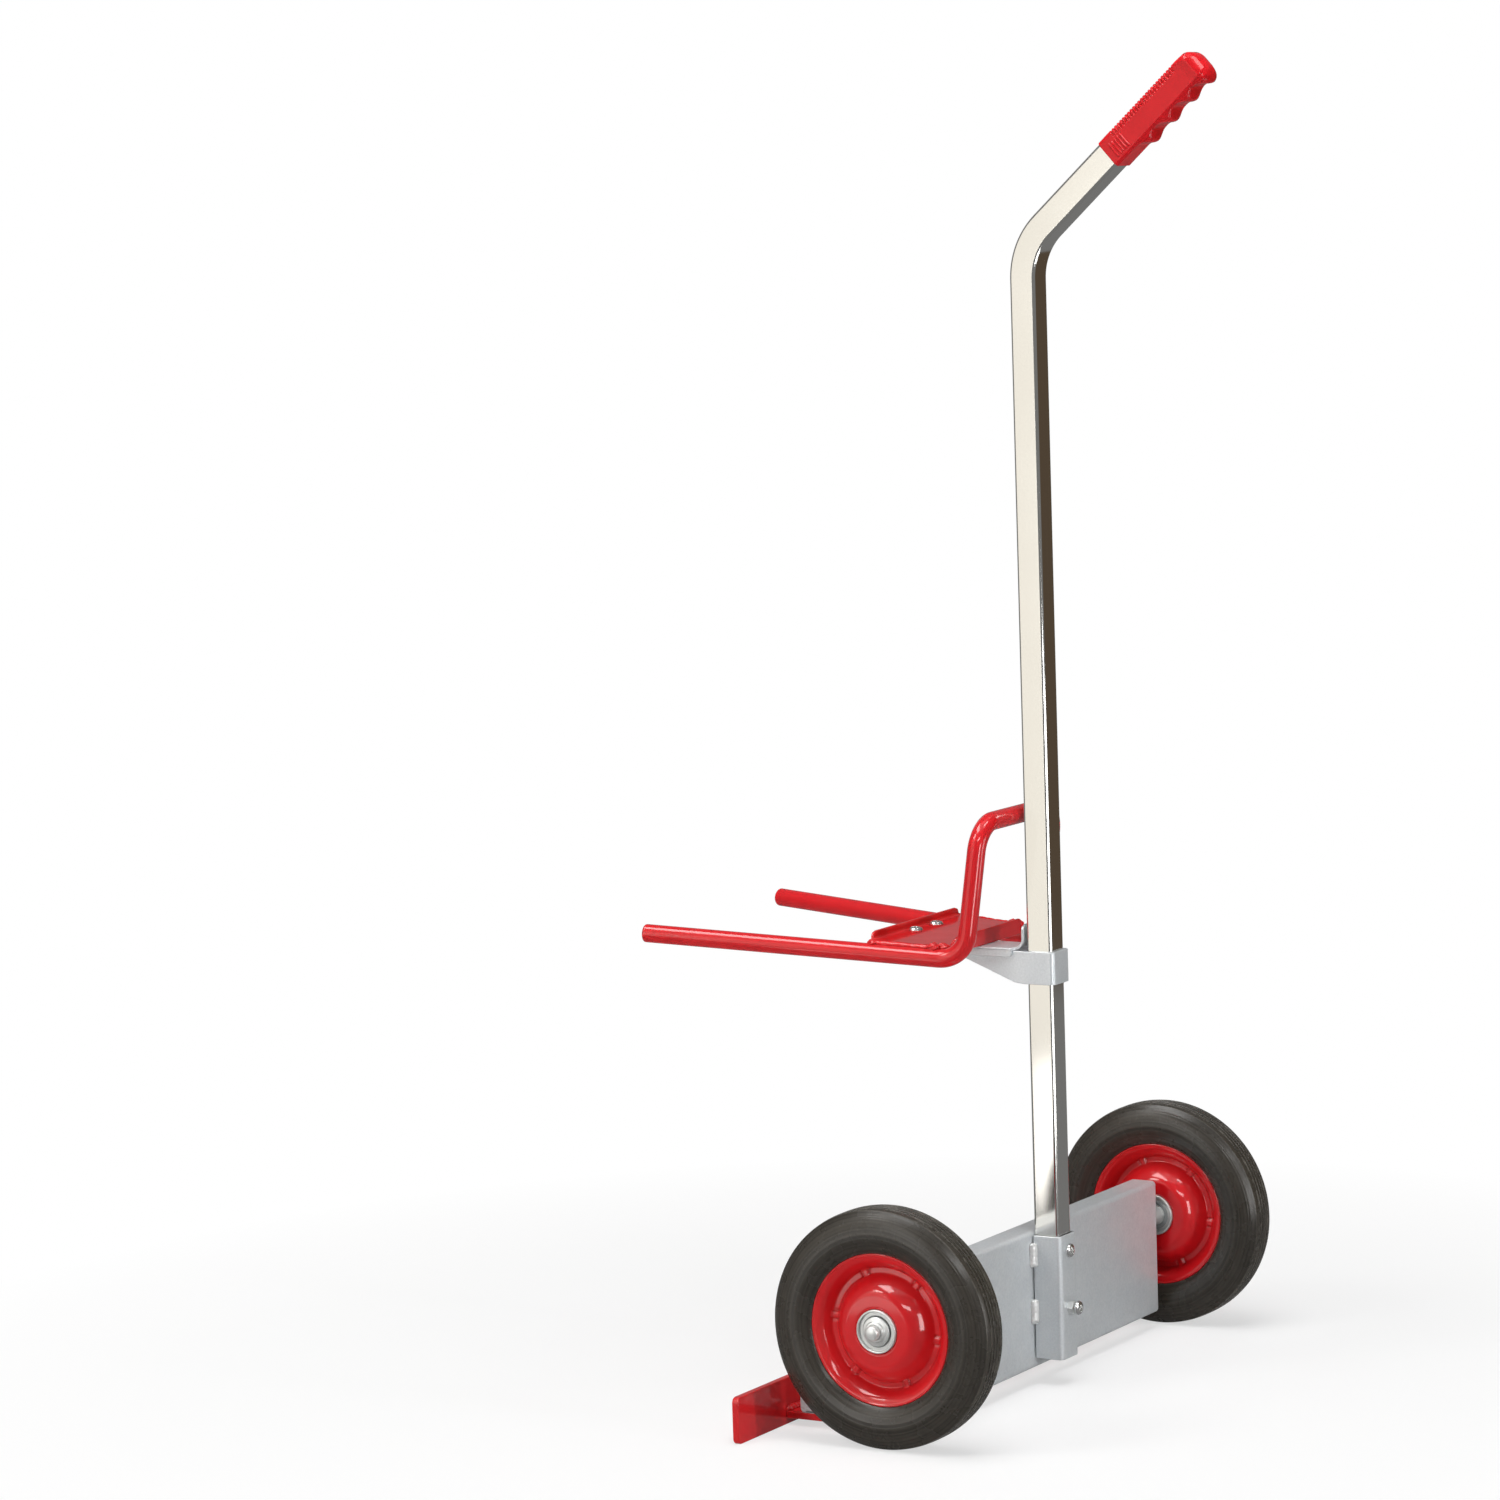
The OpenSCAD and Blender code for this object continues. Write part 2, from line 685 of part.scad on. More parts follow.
// Square tube, upright in its socket and bent back to the handle
module mast() {
    color(chrome) difference() {
        union() {
            translate([0, mast_y, mast_foot_z])
                linear_extrude(mast_bend_z - mast_foot_z - seam_gap) mast_section(0);
            translate([0, mast_y, mast_bend_z - seam_l]) linear_extrude(2 * seam_l) mast_section(seam_swell);
            in_frame([0, mast_y + mast_bend_r, mast_bend_z], [0, -1, 0], [0, 0, 1])
                rotate_extrude(angle = mast_bend_angle) translate([mast_bend_r, 0]) mast_section(0);
            handle_frame() translate([0, 0, mast_tangent - seam_l])
                linear_extrude(2 * seam_l) mast_section(seam_swell);
            handle_frame() translate([0, 0, mast_tangent + seam_gap])
                linear_extrude(mast_end - mast_tangent - seam_gap) mast_section(0);
        }
        translate([0, mast_front_y - overrun, mast_bolt_z]) point_y()
            cylinder(d = screw_d + 2 * hole_gap, h = mast_w + 2 * overrun);
    }
}

// Bolt through the socket, the mast and the web
module mast_bolt() {
    shank = socket_back_y - web_front_y + nut_h;
    color(zinc) translate([0, socket_back_y, mast_bolt_z]) point_y() pan_screw(shank);
}

module mast_bolt_nut() {
    color(zinc) translate([0, web_front_y - nut_h, mast_bolt_z]) point_y() hex_nut(nut_af, nut_h, screw_d);
}

// Screw through the back of the socket that presses on the mast
module clamp_screw() {
    color(zinc) translate([0, socket_back_y + clamp_proud, clamp_z]) point_y()
        pan_screw(socket_back_y + clamp_proud - mast_back_y);
}

module clamp_jam_nut() {
    color(zinc) translate([0, socket_back_y, clamp_z]) point_y() hex_nut(nut_af, nut_h, screw_d);
}

// Moulded grip with finger ridges below and fine grooves across its top
module handle_grip() {
    bore = mast_w + 2 * grip_gap;
    color(red_paint) handle_frame() translate([0, 0, grip_foot]) difference() {
        union() {
            linear_extrude(grip_l) centred_rect(grip_w, grip_w, grip_corner_r);
            for (i = [0 : ridges - 1])
                translate([0, ridge_y, ridge_first + i * ridge_pitch]) point_x()
                    cylinder(r = ridge_r, h = grip_w - 2 * grip_corner_r, center = true);
            translate([-grip_w / 2, -grip_w / 2, grip_l - flange_l])
                linear_extrude(flange_l) rounded_rect(grip_w, grip_w + ridge_h, grip_corner_r);
        }
        translate([-bore / 2, -bore / 2, -overrun]) linear_extrude(grip_l - grip_end_t + overrun + seat_gap)
            rounded_rect(bore, bore, mast_corner_r);
        for (i = [0 : top_grooves - 1])
            translate([-grip_w / 2, -grip_w / 2 - overrun, top_groove_first + i * top_groove_pitch])
                cube([grip_w, top_groove_depth + overrun, top_groove_w]);
    }
}

// Axle with bevelled ends
module axle() {
    edge = axle_d * axle_edge_share;
    color(zinc) translate([0, axle_y, axle_z]) point_x() {
        translate([0, 0, edge - axle_half]) cylinder(d = axle_d, h = 2 * (axle_half - edge));
        for (side = [0, 180])
            rotate([side, 0, 0]) translate([0, 0, axle_half - edge])
                cylinder(d1 = axle_d, d2 = axle_d - 2 * edge, h = edge);
    }
}

// Tube between a cheek and the inner bearing of a wheel
module axle_spacer() {
    color(zinc) translate([channel_l / 2, axle_y, axle_z]) point_x()
        ring(spacer_d / 2, inner_race_r, spacer_l);
}

module axle_spacer_left() {
    mirror([1, 0, 0]) axle_spacer();
}

module axle_spacer_right() {
    axle_spacer();
}

// Nut pressed on the axle that keeps a wheel on
module push_nut() {
    color(zinc) translate([push_nut_x, axle_y, axle_z]) point_x() {
        ring(push_nut_d / 2, inner_race_r, push_nut_t);
        translate([0, 0, push_nut_t]) ring(push_nut_collar_d / 2, inner_race_r, push_nut_collar_h);
    }
}

module push_nut_left() {
    mirror([1, 0, 0]) push_nut();
}

module push_nut_right() {
    push_nut();
}

// A wheel's own frame on the +X side: Z along the axle, away from the trolley
module wheel_frame() {
    translate([wheel_x, axle_y, axle_z]) point_x() children();
}

// The two bearings of a wheel, each from its inner to its outer face
module at_bearings() {
    for (z = [-bearing_face, bearing_face - bearing_w])
        translate([0, 0, z]) children();
}

// Inner races, which stay on the axle
module bearing_inner() {
    color(zinc) wheel_frame() at_bearings() ring(inner_race_r + race_wall, inner_race_r, bearing_w);
}

module bearing_inner_left() {
    mirror([1, 0, 0]) bearing_inner();
}

module bearing_inner_right() {
    bearing_inner();
}

// Outer races, which turn with the wheel
module bearing_outer() {
    color(zinc) wheel_frame() at_bearings() ring(outer_race_r, outer_race_r - race_wall, bearing_w);
}

module bearing_outer_left() {
    mirror([1, 0, 0]) bearing_outer();
}

module bearing_outer_right() {
    bearing_outer();
}

module bearing_balls() {
    color(zinc) wheel_frame() at_bearings() for (i = [0 : ball_count - 1])
        rotate(i * 360 / ball_count) translate([ball_ring_r, 0, bearing_w / 2]) sphere(d = ball_d);
}

module bearing_balls_left() {
    mirror([1, 0, 0]) bearing_balls();
}

module bearing_balls_right() {
    bearing_balls();
}

// Half-width of the room between the two rim slopes at a radius
function seat_x(r) = (rim_x - disc_t) * (r - ring_d / 2) / (rim_r - ring_d / 2) - tyre_gap;

// Solid tyre: two arcs for the side walls, a flat tread with grooves and a wedge between the rim slopes
module tyre() {
    color(rubber) wheel_frame() difference() {
        rotate_extrude() intersection() {
            translate([bulge_r, -arc_offset]) circle(arc_r);
            translate([bulge_r, arc_offset]) circle(arc_r);
            polygon([
                [tyre_bore_r, -seat_x(tyre_bore_r)],
                [tyre_seat_r, -seat_x(tyre_seat_r)],
                [tyre_seat_r, -tyre_w],
                [tyre_r, -tyre_w],
                [tyre_r, tyre_w],
                [tyre_seat_r, tyre_w],
                [tyre_seat_r, seat_x(tyre_seat_r)],
                [tyre_bore_r, seat_x(tyre_bore_r)]
            ]);
        }
        for (i = [1 : tread_grooves])
            translate([0, 0, i * groove_step - tread_w / 2 - groove_w / 2])
                ring(tyre_r + overrun, tyre_r - groove_depth, groove_w);
    }
}

module tyre_left() {
    mirror([1, 0, 0]) tyre();
}

module tyre_right() {
    tyre();
}

// Pressed disc: rim slope, flat ring at the wheel's middle, cone and boss round the sleeve
module hub_disc() {
    face = [[rim_r, rim_x], [ring_d / 2, disc_t], [ring_in_r, disc_t], [boss_d / 2, boss_x],
        [sleeve_d / 2 + seat_gap, boss_x]];
    back = [for (i = [len(face) - 1 : -1 : 0]) [face[i].x, face[i].y - disc_t]];
    color(red_paint) rotate_extrude() polygon(concat(face, back));
}

module hub_outer_disc() {
    wheel_frame() hub_disc();
}

module hub_inner_disc() {
    wheel_frame() mirror([0, 0, 1]) hub_disc();
}

module hub_outer_disc_left() {
    mirror([1, 0, 0]) hub_outer_disc();
}

module hub_outer_disc_right() {
    hub_outer_disc();
}

module hub_inner_disc_left() {
    mirror([1, 0, 0]) hub_inner_disc();
}

module hub_inner_disc_right() {
    hub_inner_disc();
}

// Sleeve that joins the discs and houses the bearings
module hub_sleeve() {
    color(zinc) wheel_frame() translate([0, 0, -sleeve_l / 2]) ring(sleeve_d / 2, sleeve_bore_r, sleeve_l);
}

module hub_sleeve_left() {
    mirror([1, 0, 0]) hub_sleeve();
}

module hub_sleeve_right() {
    hub_sleeve();
}

// Upright bar that stands on the floor and stops the legs of the load
module toe_bar() {
    color(red_paint) translate([0, toe_t / 2, toe_h / 2]) rotate([90, 0, 0])
        linear_extrude(toe_t) centred_rect(toe_l, toe_h, toe_corner_r);
}

// Flat plate from the toe bar back under the cheeks
module toe_plate() {
    color(red_paint) difference() {
        translate([-channel_l / 2, toe_t / 2, toe_plate_top - toe_plate_t])
            cube([channel_l, toe_plate_depth, toe_plate_t]);
        both_sides() for (share = toe_bolt_shares)
            translate([toe_bolt_x, toe_bolt_y(share), toe_plate_top - toe_plate_t - overrun])
                cylinder(d = toe_bolt_d + 2 * hole_gap, h = toe_plate_t + 2 * overrun);
    }
}

// Weld along the corner between the toe bar and the toe plate
module toe_weld() {
    color(red_paint) translate([0, toe_t / 2, toe_plate_top]) rotate([90, 0, 90])
        translate([0, 0, -channel_l / 2]) fillet_weld(toe_weld_r, channel_l);
}

// Bolts up through the toe plate and the foot flanges
module toe_bolts() {
    shank = toe_plate_t + sheet_t + toe_nut_h;
    color(zinc) both_sides() for (share = toe_bolt_shares)
        translate([toe_bolt_x, toe_bolt_y(share), toe_plate_top - toe_plate_t]) {
            cylinder(d = toe_bolt_d, h = shank);
            translate([0, 0, -toe_head_h]) cylinder(d1 = toe_head_d - toe_head_h, d2 = toe_head_d, h = toe_head_h);
        }
}

module toe_nuts() {
    color(zinc) both_sides() for (share = toe_bolt_shares)
        translate([toe_bolt_x, toe_bolt_y(share), toe_plate_top + sheet_t])
            hex_nut(toe_nut_af, toe_nut_h, toe_bolt_d);
}

// Collar that slides on the mast, with ears that carry the table
module carriage_collar() {
    depth = collar_back_y - mast_y;
    color(grey_paint) {
        translate([0, 0, collar_z]) linear_extrude(collar_h) difference() {
            translate([-collar_half, mast_y - collar_bend_r])
                rounded_rect(2 * collar_half, depth + collar_bend_r, collar_bend_r);
            translate([-collar_half + collar_wall, mast_y - 2 * collar_bend_r])
                rounded_rect(2 * (collar_half - collar_wall), depth + 2 * collar_bend_r - collar_wall,
                    collar_bend_r - collar_wall);
            translate([-collar_half - overrun, mast_y - 2 * collar_bend_r])
                square([2 * (collar_half + overrun), 2 * collar_bend_r]);
        }
        both_sides() translate([collar_half - collar_wall / 2, 0, 0]) along_x(collar_wall) polygon([
            [mast_y, collar_z],
            [ear_root_y, collar_z],
            [ear_tip_y, collar_top - ear_tip_h],
            [ear_tip_y, collar_top],
            [mast_y, collar_top]
        ]);
    }
}

// Bar across the ears that bears on the front of the mast
module collar_bar() {
    half = collar_half - collar_wall - seat_gap;
    color(grey_paint) translate([-half, bar_y, collar_z]) cube([2 * half, bar_t, bar_h]);
}

// Hole for a fork screw, through whatever lies at the given height
module fork_screw_holes(low, h) {
    both_sides() translate([screw_gauge / 2, -screw_reach, low - overrun])
        cylinder(d = screw_d + 2 * hole_gap, h = h + 2 * overrun);
}

// Table on the ears: side flanges, a lip turned up before the mast and a rising tongue
module carriage_table() {
    flat_front_y = table_bend_y - table_t * sin(arm_pitch);
    flat_w = 2 * table_half;
    color(grey_paint) {
        translate([-table_half, flat_front_y, collar_top])
            cube([flat_w, lip_axis_y - flat_front_y, table_t]);
        both_sides() translate([table_half - table_t, lip_axis_y - table_flange_l, table_top - table_flange_h])
            cube([table_t, table_flange_l, table_flange_h]);
        translate([-lip_w / 2, lip_axis_y, table_top + lip_bend_r]) rotate([90, 0, 90])
            rotate([0, 0, -90]) rotate_extrude(angle = 90) translate([lip_bend_r, 0]) square([table_t, lip_w]);
        translate([-lip_w / 2, lip_back_y - table_t, table_top + lip_bend_r])
            cube([lip_w, table_t, lip_h - lip_bend_r]);
        fork_frame() difference() {
            translate([-tongue_w / 2, -tongue_reach, tongue_low])
                cube([tongue_w, tongue_reach - tongue_foot, table_t]);
            fork_screw_holes(tongue_low, table_t);
        }
    }
}

// One round bar bent into two arms and the loop that stands up from their heels
module fork_rod() {
    color(red_paint) bent_rod(fork_path, fork_bends, rod_d);
}

// Outline of the fork plate, seen from above
module fork_plate_outline() {
    polygon([
        [-flange_half, -plate_back],
        [-flange_half, -plate_shoulder],
        [-plate_x(plate_shoulder), -plate_shoulder],
        [-plate_x(plate_side), -plate_side],
        [-plate_front_half, -plate_front],
        [plate_front_half, -plate_front],
        [plate_x(plate_side), -plate_side],
        [plate_x(plate_shoulder), -plate_shoulder],
        [flange_half, -plate_shoulder],
        [flange_half, -plate_back]
    ]);
    for (side = [-1, 1])
        translate([side * plate_front_half, -plate_side]) circle(plate_corner_r);
}

// Upright edge of the fork plate with round top corners, from a height up, behind a place along Y
module plate_rim(back, half, low) {
    r = (rim_top - plate_top) * rim_corner_share;
    translate([0, back, 0]) rotate([90, 0, 0]) linear_extrude(plate_t) {
        translate([-half, low]) square([2 * half, rim_top - r - low]);
        translate([-half + r, low]) square([2 * (half - r), rim_top - low]);
        for (side = [-1, 1])
            translate([side * (half - r), rim_top - r]) circle(r);
    }
}

// Sheet that lies on the rods, with its front and back edges turned up and its back edge on the table too
module fork_plate() {
    color(red_paint) fork_frame() difference() {
        union() {
            translate([0, 0, plate_low]) linear_extrude(plate_t) fork_plate_outline();
            plate_rim(plate_t - plate_front, plate_front_half, plate_low + plate_t / 2);
            plate_rim(-plate_back, flange_half, plate_foot);
        }
        fork_screw_holes(plate_low, plate_t);
    }
}

// Weld beads on the rods along the side edges of the fork plate
module fork_welds() {
    run = plate_side - plate_shoulder;
    back = plate_shoulder + run * bead_end_share;
    front = plate_side - run * bead_end_share;
    color(red_paint) difference() {
        fork_frame() both_sides()
            straight_rod([bead_x(back), -back, rod_r], [bead_x(front), -front, rod_r], 2 * bead_r);
        fork_frame() both_sides() {
            straight_rod([arm_x(0), 0, 0], [arm_x(plate_front), -plate_front, 0], rod_d);
            linear_extrude(rim_top) fork_plate_outline();
        }
    }
}

// Screws that hold the fork plate on the tongue
module fork_screws() {
    shank = plate_top - tongue_low + nut_h;
    color(zinc) fork_frame() both_sides() translate([screw_gauge / 2, -screw_reach, plate_top]) pan_screw(shank);
}

// Spacers between the tongue and the fork plate
module fork_spacers() {
    color(zinc) fork_frame() both_sides() translate([screw_gauge / 2, -screw_reach, tongue_top])
        ring(head_d / 2, screw_d / 2 + hole_gap, plate_low - tongue_top);
}

module fork_nuts() {
    color(zinc) fork_frame() both_sides() translate([screw_gauge / 2, -screw_reach, tongue_low - nut_h])
        hex_nut(nut_af, nut_h, screw_d);
}

axle_channel();
cheek_left();
cheek_right();
mast_socket();
socket_welds();
mast();
mast_bolt();
mast_bolt_nut();
clamp_screw();
clamp_jam_nut();
handle_grip();
axle();
axle_spacer_left();
axle_spacer_right();
push_nut_left();
push_nut_right();
bearing_inner_left();
bearing_inner_right();
tyre_left();
hub_outer_disc_left();
hub_inner_disc_left();
hub_sleeve_left();
bearing_outer_left();
bearing_balls_left();
tyre_right();
hub_outer_disc_right();
hub_inner_disc_right();
hub_sleeve_right();
bearing_outer_right();
bearing_balls_right();
toe_bar();
toe_plate();
toe_weld();
toe_bolts();
toe_nuts();
carriage_collar();
collar_bar();
carriage_table();
fork_rod();
fork_plate();
fork_welds();
fork_screws();
fork_spacers();
fork_nuts();
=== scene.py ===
"""Looks of a stacking chair trolley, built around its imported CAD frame.

Every visible piece is a surface computed in whole arrays, in millimetres in the row frame: outlines stood up
along a line, sections swept along paths, and profiles turned about the axle.
"""

import json
import math

import bpy
import numpy as np
from mathutils import Matrix


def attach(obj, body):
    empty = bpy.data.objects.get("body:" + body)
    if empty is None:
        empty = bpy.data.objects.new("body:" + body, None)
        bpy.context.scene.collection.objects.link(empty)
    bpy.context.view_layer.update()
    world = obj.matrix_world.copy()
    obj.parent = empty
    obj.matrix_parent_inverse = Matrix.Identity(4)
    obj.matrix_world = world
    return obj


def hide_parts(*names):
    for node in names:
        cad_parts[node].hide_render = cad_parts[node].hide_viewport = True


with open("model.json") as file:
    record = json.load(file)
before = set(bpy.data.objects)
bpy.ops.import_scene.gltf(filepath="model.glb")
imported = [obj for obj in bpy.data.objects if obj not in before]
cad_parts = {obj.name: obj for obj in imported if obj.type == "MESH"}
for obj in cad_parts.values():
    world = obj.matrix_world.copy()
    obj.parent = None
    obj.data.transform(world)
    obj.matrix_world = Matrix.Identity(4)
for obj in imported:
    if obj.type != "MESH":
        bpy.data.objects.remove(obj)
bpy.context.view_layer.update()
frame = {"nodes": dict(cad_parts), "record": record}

# Main sizes, in millimetres, as in the part's source
SHEET_T = 2.5
AXLE_Y, AXLE_Z, WHEEL_X = 122.8, 101.6, 258.0
RING_IN, RING_OUT = 46.0, 51.2
WEB_FRONT, WEB_BACK = 129.2, 131.7
CHANNEL_FRONT, CHANNEL_LOW, CHANNEL_TOP, CHANNEL_HALF = 108.4, 15.0, 136.0, 226.0
TOE_HALF, TOE_H, TOE_T, TOE_BACK = 304.0, 40.0, 6.0, 3.0
TOE_PLATE_LOW, TOE_PLATE_TOP, TOE_PLATE_BACK = 6.0, 12.0, 99.0
MAST_Y, MAST_HALF, MAST_LOW = 143.75, 12.0, 26.0
MAST_CORNER_Z, MAST_BEND, MAST_BEND_R, HANDLE_END = 985.8, math.radians(48), 60.0, 223.0
SOCKET_HALF, SOCKET_BACK, SOCKET_LOW, SOCKET_TOP, SOCKET_T = 15.4, 159.15, 24.0, 132.5, 3.0
MAST_BOLT_Z, MAST_BOLT_L = 118.6, 32.5
CLAMP_Z, CLAMP_L, CLAMP_OUT = 68.5, 10.2, 7.0
GRIP_HALF, GRIP_FOOT, GRIP_L = 13.35, 113.7, 115.3
COLLAR_HALF, COLLAR_BACK, COLLAR_LOW, COLLAR_TOP, COLLAR_T = 15.5, 159.25, 353.0, 381.5, 3.0
TABLE_TOP = 384.0
HEEL_Y, HEEL_Z, HEEL_HALF, HEEL_R = 102.15, 379.9, 69.0, 26.0
LOOP_BACK, LOOP_UP, LOOP_R = 17.4, 118.4, 24.0
PITCH, SPLAY, ARM_REACH, ROD_R = math.radians(3.3), math.tan(math.radians(9.3)), 293.0, 8.0
PLATE_LOW, RIM_TOP, STRIP_HALF = 8.05, 17.5, 60.9
PLATE_TOP = PLATE_LOW + SHEET_T
FORK_SCREW_X, FORK_SCREW_Y, FORK_SCREW_L = 18.5, -76.0, 15.0

PER_METRE = 1000.0
EDGE_TURN = math.radians(24)  # turn between faces and normal that counts as a full edge


# Arrays: outlines, sweeps and skins

def unit(v):
    """Vectors scaled to length one along the last axis."""
    return v / np.linalg.norm(v, axis=-1, keepdims=True)


def smooth(x, low, high):
    """Rise from 0 at low to 1 at high along the cubic 3t^2 - 2t^3."""
    t = np.clip((x - low) / (high - low), 0, 1)
    return t * t * (3 - 2 * t)


def band(x, a, b, c, d):
    """Rise from 0 to 1 between a and b, and fall back to 0 between c and d."""
    return smooth(x, a, b) * (1 - smooth(x, c, d))


def bell(x, middle, width):
    """Bump of height 1 that falls off with the square of the distance in its exponent."""
    return np.exp(-((x - middle) / width) ** 2)


def waves(x, start, pitch):
    """Cosine wave between 0, at the start and at each pitch from there, and 1 halfway."""
    return 0.5 - 0.5 * np.cos(2 * np.pi * (x - start) / pitch)


def arc(before, p, after, r, steps=None, step=10):
    """Arc of radius r tangent to both sides of a corner: the sines of the two parts of its turn weigh the
    directions to its ends. It has the given steps, or one about every step degrees."""
    u, v = unit(before - p), unit(after - p)
    half = math.acos(float(np.clip(u @ v, -1, 1))) / 2
    turn = math.pi - 2 * half
    centre = p + unit(u + v) * r / math.sin(half)
    first, last = (p + side * r / math.tan(half) - centre for side in (u, v))
    n = steps or max(3, int(math.degrees(turn) / step))
    k = np.linspace(0, 1, n + 1)[:, None]
    return centre + (np.sin((1 - k) * turn) * first + np.sin(k * turn) * last) / math.sin(turn)


def rounded(points, radii, steps=6):
    """Closed outline in which each corner is an arc of its radius, or sharp where that is 0."""
    points = np.asarray(points, float)
    radii = np.broadcast_to(np.asarray(radii, float), len(points))
    corners = zip(np.roll(points, 1, 0), points, np.roll(points, -1, 0), radii)
    return np.concatenate([arc(a, p, b, r, steps) if r > 0 else p[None] for a, p, b, r in corners])


def bent_path(points, radii, step=10):
    """Open path whose corners are arcs of the given radii, with a point about every step degrees."""
    points = np.asarray(points, float)
    corners = zip(points, points[1:], points[2:], radii)
    bends = [arc(a, p, b, r, step=step) for a, p, b, r in corners]
    return np.concatenate([points[:1], *bends, points[-1:]])


def box_outline(x0, y0, x1, y1, r, steps=6):
    """Rounded rectangle, counter-clockwise."""
    return rounded([(x0, y0), (x1, y0), (x1, y1), (x0, y1)], r, steps)


def even_turn(n):
    """Angles of n even steps of one turn."""
    return np.linspace(0, 2 * np.pi, n, endpoint=False)


def circle(r, n):
    """Closed circle about the origin, counter-clockwise."""
    t = even_turn(n)
    return r * np.column_stack([np.cos(t), np.sin(t)])


def quarter(r, steps):
    """Steps of a rounded rim of radius r, from its end: how far in and how far along."""
    return [(r * (1 - math.sin(k)), r * (1 - math.cos(k))) for k in np.linspace(0, np.pi / 2, steps + 1)]


def inset(outline, d):
    """The outline moved inwards by d: each point goes along the mitre of its two sides."""
    least = 0.4  # limits the mitre of a sharp point
    before = unit(outline - np.roll(outline, 1, 0))
    after = unit(np.roll(outline, -1, 0) - outline)
    n1 = np.column_stack([-before[:, 1], before[:, 0]])
    n2 = np.column_stack([-after[:, 1], after[:, 0]])
    return outline + d * (n1 + n2) / np.maximum(1 + np.sum(n1 * n2, 1), least)[:, None]


def finer(path, step):
    """The path with points added so that none lie further apart than about a step."""
    out = []
    for p, q in zip(path, path[1:]):
        n = max(1, int(np.linalg.norm(q - p) / step))
        out.append(p + np.linspace(0, 1, n, endpoint=False)[:, None] * (q - p))
    return np.concatenate(out + [path[-1:]])


def run_along(path):
    """Distance along the path at each of its points."""
    return np.concatenate([[0], np.cumsum(np.linalg.norm(np.diff(path, axis=0), axis=1))])


def skin(grid, wrap_u=False, wrap_v=True, caps=False):
    """Quads over a grid of points, closed along either direction, with flat caps on its end rows."""
    nu, nv = grid.shape[:2]
    i = np.arange(nu if wrap_u else nu - 1)[:, None]
    j = np.arange(nv if wrap_v else nv - 1)[None]
    i1, j1 = (i + 1) % nu, (j + 1) % nv
    quads = np.stack([i * nv + j, i * nv + j1, i1 * nv + j1, i1 * nv + j], -1).reshape(-1, 4)
    faces = [tuple(q) for q in quads.tolist()]
    if caps:
        faces.append(tuple(range(nv - 1, -1, -1)))
        faces.append(tuple(range((nu - 1) * nv, nu * nv)))
    return grid.reshape(-1, 3), faces


def prism(outline, h, bevel, steps=3):
    """Outline stood up along Z from 0 to h; its rims are rounded by quarter circles of radius bevel."""
    rim = quarter(bevel, steps)
    rings = rim + [(d, h - z) for d, z in rim[::-1]]
    grid = np.array([np.column_stack([inset(outline, d), np.full(len(outline), z)]) for d, z in rings])
    return skin(grid, caps=True)


def swept(path, section, first_up, cap, steps=3):
    """Section carried along a path: its frame turns with the path and never twists; cap rounds its ends."""
    path = np.asarray(path, float)
    tangent = unit(np.gradient(path, axis=0))
    tangent[0], tangent[-1] = unit(path[1] - path[0]), unit(path[-1] - path[-2])
    up = np.empty_like(path)
    up[0] = unit(np.asarray(first_up, float) - tangent[0] * (tangent[0] @ first_up))
    for i in range(1, len(path)):
        up[i] = unit(up[i - 1] - tangent[i] * (tangent[i] @ up[i - 1]))
    side = np.cross(up, tangent)
    caps = [(z, inset(section, d)) for d, z in quarter(cap, steps)]
    rings = [(path[0] + tangent[0] * z, 0, s) for z, s in caps]
    rings += [(path[i], i, section) for i in range(1, len(path) - 1)]
    rings += [(path[-1] - tangent[-1] * z, -1, s) for z, s in caps[::-1]]
    grid = np.array([p + s[:, :1] * side[i] + s[:, 1:] * up[i] for p, i, s in rings])
    return skin(grid, caps=True)


def sheet(path, half, t, edge=0.7):
    """Sheet carried along a path in the middle plane: rounded flat sections as wide as half gives there."""
    tangent = unit(np.gradient(path, axis=0))
    across = np.array([1.0, 0, 0])
    up = np.cross(across, tangent)
    rings = []
    for i, w in enumerate(half):
        s = box_outline(-w, -t / 2, w, t / 2, edge, 4)
        if i in (0, len(path) - 1):
            s = inset(s, 0.5)
        rings.append(path[i] + s[:, :1] * across + s[:, 1:] * up[i])
    return skin(np.array(rings)[:, ::-1], caps=True)


def round_off(left, r):
    """How much narrower a sheet is at a distance left to its free edge, for corners of radius r."""
    d = np.clip(r - left, 0, r)
    return r - np.sqrt(np.maximum(r * r - d * d, 0))


def turned(profile, n, closed=True, wobble=None):
    """Profile of places along the axle and radii, turned once about it; wobble adds to the places."""
    profile = np.asarray(profile, float)
    t = even_turn(n)
    x = np.repeat(profile[:, :1], n, 1)
    r = np.repeat(profile[:, 1:], n, 1)
    if wobble is not None:
        x = x + wobble(r, t[None])
    grid = np.stack([x, AXLE_Y + r * np.cos(t), AXLE_Z + r * np.sin(t)], -1)
    return skin(grid, wrap_u=closed)


def moved(part, f):
    """The part with its points mapped by f."""
    return f(part[0]), part[1]


def mirrored(part):
    """The part on the other side of the trolley, with its faces turned round."""
    return part[0] * np.array([-1, 1, 1]), [q[::-1] for q in part[1]]


def both(parts):
    """Parts and their mirror images."""
    return parts + [mirrored(p) for p in parts]


def shift(x=0, y=0, z=0):
    """Map that moves points."""
    return lambda p: p + np.array([x, y, z], float)


def along_x(x0):
    """Map for an outline in Y and Z that is stood up along X from x0."""
    return lambda p: np.column_stack([p[:, 2] + x0, p[:, 0], p[:, 1]])


def along_back(y0):
    """Map for an outline in X and Z that is stood up along -Y from y0."""
    return lambda p: np.column_stack([p[:, 0], y0 - p[:, 2], p[:, 1]])


